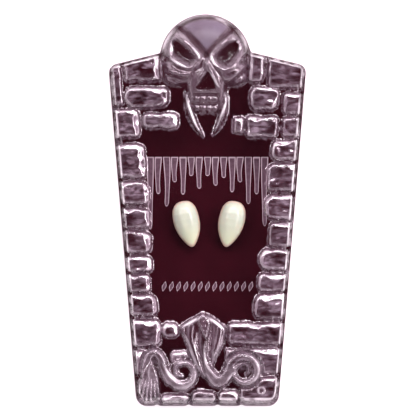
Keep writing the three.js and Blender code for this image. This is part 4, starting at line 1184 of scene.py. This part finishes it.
def cover_material(settings):
    """Clear sheet: bare over the window, milky and streaked on the faces, mirror-like where it leans, and
    white with painted highlights along its line mask.
    """
    material, tree, shader = shader_of("clear_moulded_sheet")
    names = ("line", "slope", "haze", "plate", "dull")
    line, slope, haze, plate, dull = (attribute(tree, name) for name in names)
    streaks = grain(tree, 420, 4, (0.45, 1.2, 0.6), 1.2)
    milky = times(tree, haze, ramp(tree, streaks, 0.36, 0.66, 0.4, 1.25), clamp=True)
    colour = mixed(tree, milky, settings.face_colour, settings.haze_colour)
    colour = mixed(tree, times(tree, slope, 0.6), colour, settings.lean_colour)
    # Painted highlight: the line mask mixes in the white highlight colour, and below it makes the sheet
    # opaque there.
    colour = mixed(tree, line, colour, settings.highlight_colour)
    colour = mixed(tree, plate, colour, settings.plate_colour)
    facing = tree.nodes.new("ShaderNodeLayerWeight")
    set_inputs(facing, Blend=0.35)
    grazing = ramp(tree, facing.outputs["Fresnel"], 0.055, 1.0, 0.0, GRAZING_COVER)
    grazing = times(tree, grazing, ramp(tree, haze, 0.0, 0.3, 0.3, 1.0))
    veil = times(tree, milky, HAZE_COVER)
    leaning = times(tree, slope, LEAN_COVER)
    lit = greater(tree, veil, greater(tree, leaning, line))
    lit = greater(tree, lit, times(tree, plate, PLATE_COVER))
    feed_shader(
        tree, shader, times(tree, streaks, haze), 0.3, 0.0004,
        Base_Color=colour,
        Alpha=maths(tree, "ADD", greater(tree, lit, BARE_COVER), grazing, clamp=True),
        Roughness=ramp(tree, dull, 0.0, 1.0, 0.1, 0.55),
        Coat_Weight=ramp(tree, dull, 0.0, 0.8, 1.0, 0.0),
        IOR=1.57, Specular_IOR_Level=1.0, Coat_IOR=2.2, Coat_Roughness=0.1,
    )
    return material


def card_material(settings):
    """Printed board: maroon ink with a faint mottle on the front, bare grey board on edge and back."""
    material, tree, shader = shader_of("printed_board")
    mottle = grain(tree, 90, 5)
    fibre = grain(tree, 900, 4, (1, 0.35, 1))
    ink = mixed(tree, ramp(tree, mottle, 0.3, 0.7), settings.ink_colour, settings.ink_dark)
    board = mixed(tree, fibre, settings.board_colour, settings.board_dark)
    coordinates = tree.nodes.new("ShaderNodeTexCoord")
    parts = tree.nodes.new("ShaderNodeSeparateXYZ")
    tree.links.new(coordinates.outputs["Object"], parts.inputs["Vector"])
    front = ramp(tree, parts.outputs["Z"], 0.93 * CARD_TOP * MM, 0.97 * CARD_TOP * MM)
    feed_shader(
        tree, shader, fibre, 0.15, 0.0001,
        Base_Color=mixed(tree, front, board, ink),
        Roughness=ramp(tree, front, 0, 1, 0.8, 0.5),
        Specular_IOR_Level=0.0,
    )
    return material


def ornament_material(settings):
    """Mauve ink with a paler outline, both a little uneven."""
    material, tree, shader = shader_of("printed_ink")
    uneven = ramp(tree, grain(tree, 700, 4), 0.35, 0.65)
    fill = mixed(tree, uneven, settings.print_colour, settings.print_dark)
    feed_shader(
        tree, shader,
        Base_Color=mixed(tree, attribute(tree, "line"), fill, settings.outline_colour),
        Roughness=ramp(tree, uneven, 0, 1, 0.5, 0.65),
        Specular_IOR_Level=0.0,
    )
    return material


def fang_material(settings):
    """Ivory acrylic: cream with faint growth streaks, greener to the tip. It is darker towards the gum end
    as painted shade that evens out the stronger light there, and peach at the thin edge as a painted
    reflection of the card.
    """
    material, tree, shader = shader_of("ivory_acrylic")
    side, along = attribute(tree, "side"), attribute(tree, "along")
    streak = grain(tree, 500, 3, (1, 0.18, 1))
    # Painted shade: darker cream towards the gum end, where the light is strongest, lighter and greener to
    # the tip.
    body = mixed(tree, ramp(tree, along, 0.35, 1.05), settings.cream_shade_colour, settings.tip_colour)
    body = mixed(tree, times(tree, streak, 0.25), body, settings.tip_colour)
    # Painted reflection: peach where the edge is thin, standing in for light from the maroon card.
    thin = ramp(tree, side, 0.84, 0.99, 0.0, 0.8)
    feed_shader(
        tree, shader, streak, 0.08, 0.0002,
        Base_Color=mixed(tree, thin, body, settings.card_bounce_colour),
        Roughness=ramp(tree, streak, 0.3, 0.7, 0.3, 0.4),
        Coat_Weight=0.6, Coat_Roughness=0.18, Subsurface_Weight=0.15, Subsurface_Scale=0.002,
    )
    return material


def floor_material(settings):
    """A plain white sweep with a very faint grain."""
    material, tree, shader = shader_of("white_sweep")
    feed_shader(
        tree, shader,
        Base_Color=mixed(tree, grain(tree, 40, 2), settings.floor_colour, settings.floor_pale),
        Roughness=0.9,
        Specular_IOR_Level=0.0,
        Emission_Color=(1, 1, 1),
        Emission_Strength=settings.floor_glow,
    )
    return material


def colour_property(name, description, default):
    return bpy.props.FloatVectorProperty(
        name=name, description=description, default=default, size=3, min=0, max=1, subtype="COLOR"
    )


def length_property(name, description, default, least=0.0):
    return bpy.props.FloatProperty(
        name=name, description=description, default=default, min=least, unit="LENGTH", subtype="DISTANCE"
    )


class CardSettings(bpy.types.PropertyGroup):
    ink_colour: colour_property("Ink", "Maroon ink on the front of the card", (0.0225, 0.0024, 0.005))
    ink_dark: colour_property("Dark ink", "Where the ink lies thicker", (0.019, 0.002, 0.0042))
    print_colour: colour_property("Ornament", "Mauve ink of the printed ornament", (0.1, 0.06, 0.08))
    print_dark: colour_property("Dark ornament", "Where that ink lies thinner", (0.078, 0.045, 0.06))
    outline_colour: colour_property("Outline", "Pale outline of the ornament", (0.4, 0.32, 0.36))
    board_colour: colour_property("Board", "Bare board on the edges and the back", (0.62, 0.56, 0.54))
    board_dark: colour_property("Board fibre", "Darker fibres of the board", (0.5, 0.44, 0.43))


class CoverSettings(bpy.types.PropertyGroup):
    sheet_thickness: length_property("Sheet", "Thickness of the moulded sheet", SHEET * MM)
    stone_rise: length_property("Stone rise", "Height of the stones above the window", 3.2 * MM)
    face_colour: colour_property("Clear face", "Tint of the clearest parts", (0.2, 0.12, 0.17))
    haze_colour: colour_property("Haze", "Tint of the milky moulded faces", (0.51, 0.4, 0.5))
    lean_colour: colour_property("Leaning face", "Tint of the bevels and sides", (0.21, 0.135, 0.18))
    # The colour of the painted highlights that the line mask lays on.
    highlight_colour: colour_property("Edges", "Tint of the whitened crests", (0.95, 0.92, 0.95))
    plate_colour: colour_property("Brow", "Tint of the skull's matt brow", (0.155, 0.12, 0.18))


class FangSettings(bpy.types.PropertyGroup):
    cap_length: length_property("Length", "Length of a cap from gum end to tip", 18.2 * MM)
    cap_width: length_property("Width", "Width of a cap at its widest", 10.15 * MM)
    cap_wall: length_property("Wall", "Wall round the socket", 1.2 * MM)
    cap_tilt_degrees: bpy.props.FloatProperty(
        name="Tilt", description="How far each tip turns towards the middle", default=11, min=0, max=45
    )
    # Its darkness is painted shade that evens out the stronger light at the gum end.
    cream_shade_colour: colour_property("Cream", "Ivory near the gum end", (0.41, 0.46, 0.375))
    tip_colour: colour_property("Tip", "Greener ivory near the tip", (0.73, 0.82, 0.56))
    # The colour of a painted reflection of the card in the thin edge.
    card_bounce_colour: colour_property("Thin edge", "Peach where the edge is thin", (0.62, 0.43, 0.33))


class StageSettings(bpy.types.PropertyGroup):
    camera_height: length_property("Camera height", "Height of the camera above the floor", 1.2)
    frame_width: length_property("Frame width", "Width of the view at the card", 0.1613)
    camera_x: length_property("Camera X", "The view's middle across the pack", 0.0002, -1.0)
    camera_y: length_property("Camera Y", "The view's middle along the pack", 0.0008, -1.0)
    floor_colour: colour_property("Floor", "Tint of the floor", (0.62, 0.55, 0.6))
    floor_pale: colour_property("Pale floor", "Tint of the floor's paler grain", (0.66, 0.57, 0.63))
    floor_glow: bpy.props.FloatProperty(
        name="Floor glow", description="Light that keeps the floor white", default=0.62, min=0
    )


class FANGPACK_OT_card(bpy.types.Operator):
    """Builds the printed card"""

    bl_idname = "fangpack.card"
    bl_label = "Card"

    def execute(self, context):
        card = card_piece(card_material(context.scene.fangpack_card))
        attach(card, "root")
        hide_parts("backing_card")
        return {"FINISHED"}


class FANGPACK_OT_ornament(bpy.types.Operator):
    """Builds the ornament printed on the card"""

    bl_idname = "fangpack.ornament"
    bl_label = "Printed ornament"

    def execute(self, context):
        ornament = ornament_piece(ornament_material(context.scene.fangpack_card))
        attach(ornament, "root")
        return {"FINISHED"}


class FANGPACK_OT_cover(bpy.types.Operator):
    """Builds the clear moulded cover"""

    bl_idname = "fangpack.cover"
    bl_label = "Moulded cover"

    def execute(self, context):
        settings = context.scene.fangpack_cover
        cover = cover_piece(settings, cover_material(settings))
        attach(cover, "root")
        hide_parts("clear_cover")
        return {"FINISHED"}


class FANGPACK_OT_fangs(bpy.types.Operator):
    """Builds the two ivory fang caps"""

    bl_idname = "fangpack.fangs"
    bl_label = "Fang caps"

    def execute(self, context):
        settings = context.scene.fangpack_fangs
        material = fang_material(settings)
        for node, side in zip(FANG_NODES, (1, -1)):
            cap = fang_piece(node, side, settings, material)
            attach(cap, "root")
            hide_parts(node)
        return {"FINISHED"}


FLOOR_REACH = 1500.0  # from the pack to each side of the floor

# Softboxes: direction as azimuth from +X and elevation in degrees, distance and size in metres,
# and how bright their face is
Softbox = namedtuple("Softbox", "name azimuth elevation distance size radiance")
SOFTBOXES = (
    Softbox("softbox_head", 80, 43, 0.7, 0.16, 17.0),
    Softbox("softbox_right", 10, 42, 0.7, 0.14, 15.0),
    Softbox("softbox_left", 150, 42, 0.7, 0.12, 9.0),
)
# The studio's band of light: the sines of elevation where it rises and falls, its brightness, the
# azimuth in degrees where it is strongest, and how far it spreads, as a cosine from that azimuth
BAND_LOW = (0.48, 0.56)
BAND_HIGH = (0.76, 0.84)
BAND_LIGHT = 7.5
BAND_AZIMUTH = 62
BAND_SPREAD = (-0.5, 0.65)
# The studio's walls: the sines of elevation where they fade into the ceiling, and the two brightnesses
WALL_ELEVATION = (0.05, 0.5)
WALL_LIGHT = (0.95, 0.2)
STUDIO_TINT = (1, 0.85, 0.93)


class FANGPACK_OT_stage(bpy.types.Operator):
    """Builds the floor, the lights, the surroundings and the camera"""

    bl_idname = "fangpack.stage"
    bl_label = "Stage"

    def execute(self, context):
        settings = context.scene.fangpack_stage
        corners = FLOOR_REACH * np.array(((-1, -1, 0), (1, -1, 0), (1, 1, 0), (-1, 1, 0)))
        floor = new_piece("floor", corners, [np.array([[0, 1, 2, 3]])], floor_material(settings))
        for box in SOFTBOXES:
            add_softbox(context, box)
        add_surroundings(context)
        add_camera(context, settings)
        context.scene.view_settings.view_transform = "Standard"
        return {"FINISHED"}


def add_softbox(context, box):
    """A square area light that looks at the pack, its power worked out from its brightness."""
    lamp = bpy.data.lights.new(box.name, "AREA")
    lamp.shape = "SQUARE"
    lamp.size = box.size
    lamp.energy = box.radiance * math.pi * box.size**2
    azimuth, elevation = math.radians(box.azimuth), math.radians(box.elevation)
    level = math.cos(elevation)
    place = Vector((math.cos(azimuth) * level, math.sin(azimuth) * level, math.sin(elevation)))
    place *= box.distance
    light = bpy.data.objects.new(box.name, lamp)
    light.location = place
    light.rotation_euler = (-place).to_track_quat("-Z", "Y").to_euler()
    context.scene.collection.objects.link(light)


def add_surroundings(context):
    """A studio with a dim ceiling, pale walls, and between them a band of light, strongest on the far
    side and weakest at the near one."""
    world = bpy.data.worlds.new("studio")
    context.scene.world = world
    world.use_nodes = True
    tree = world.node_tree
    coordinates = tree.nodes.new("ShaderNodeTexCoord")
    parts = tree.nodes.new("ShaderNodeSeparateXYZ")
    tree.links.new(coordinates.outputs["Generated"], parts.inputs["Vector"])
    low = ramp(tree, parts.outputs["Z"], *WALL_ELEVATION, *WALL_LIGHT)
    walls = mixed(tree, low, (0, 0, 0), STUDIO_TINT)
    toward = tree.nodes.new("ShaderNodeVectorMath")
    toward.operation = "DOT_PRODUCT"
    azimuth = math.radians(BAND_AZIMUTH)
    toward.inputs[1].default_value = (math.cos(azimuth), math.sin(azimuth), 0)
    tree.links.new(coordinates.outputs["Generated"], toward.inputs[0])
    share = ramp(tree, toward.outputs["Value"], *BAND_SPREAD, 0.0, BAND_LIGHT)
    rising = ramp(tree, parts.outputs["Z"], *BAND_LOW)
    falling = ramp(tree, parts.outputs["Z"], *BAND_HIGH, 1.0, 0.0)
    band = times(tree, share, times(tree, rising, falling))
    band = mixed(tree, 1, band, STUDIO_TINT, "MULTIPLY")
    background = tree.nodes["Background"]
    tree.links.new(mixed(tree, 1, walls, band, "ADD"), background.inputs["Color"])
    set_inputs(background, Strength=1.0)


def add_camera(context, settings):
    """A camera straight above the pack, its lens worked out from the width of the view."""
    view = bpy.data.cameras.new("camera")
    view.sensor_width = 36
    view.lens = view.sensor_width * (settings.camera_height - CARD_TOP * MM) / settings.frame_width
    view.clip_start, view.clip_end = 0.01, 20
    camera = bpy.data.objects.new("camera", view)
    camera.location = (settings.camera_x, settings.camera_y, settings.camera_height)
    context.scene.collection.objects.link(camera)
    context.scene.camera = camera


class FANGPACK_PT_panel(bpy.types.Panel):
    """Lists the pieces of the pack"""

    bl_idname = "FANGPACK_PT_panel"
    bl_label = "Fang Pack"
    bl_space_type = "VIEW_3D"
    bl_region_type = "UI"
    bl_category = "Fang Pack"

    def draw(self, context):
        for operator in OPERATORS:
            self.layout.operator(operator.bl_idname)


OPERATORS = (
    FANGPACK_OT_card, FANGPACK_OT_ornament, FANGPACK_OT_cover, FANGPACK_OT_fangs, FANGPACK_OT_stage,
)
SETTINGS = {
    "fangpack_card": CardSettings,
    "fangpack_cover": CoverSettings,
    "fangpack_fangs": FangSettings,
    "fangpack_stage": StageSettings,
}


def register():
    for cls in (*SETTINGS.values(), *OPERATORS, FANGPACK_PT_panel):
        bpy.utils.register_class(cls)
    for name, cls in SETTINGS.items():
        setattr(bpy.types.Scene, name, bpy.props.PointerProperty(type=cls))


def unregister():
    for name in SETTINGS:
        delattr(bpy.types.Scene, name)
    for cls in reversed((*SETTINGS.values(), *OPERATORS, FANGPACK_PT_panel)):
        bpy.utils.unregister_class(cls)


def main():
    register()
    bpy.ops.fangpack.card()
    bpy.ops.fangpack.ornament()
    bpy.ops.fangpack.cover()
    bpy.ops.fangpack.fangs()
    bpy.ops.fangpack.stage()


if __name__ == "__main__":
    main()
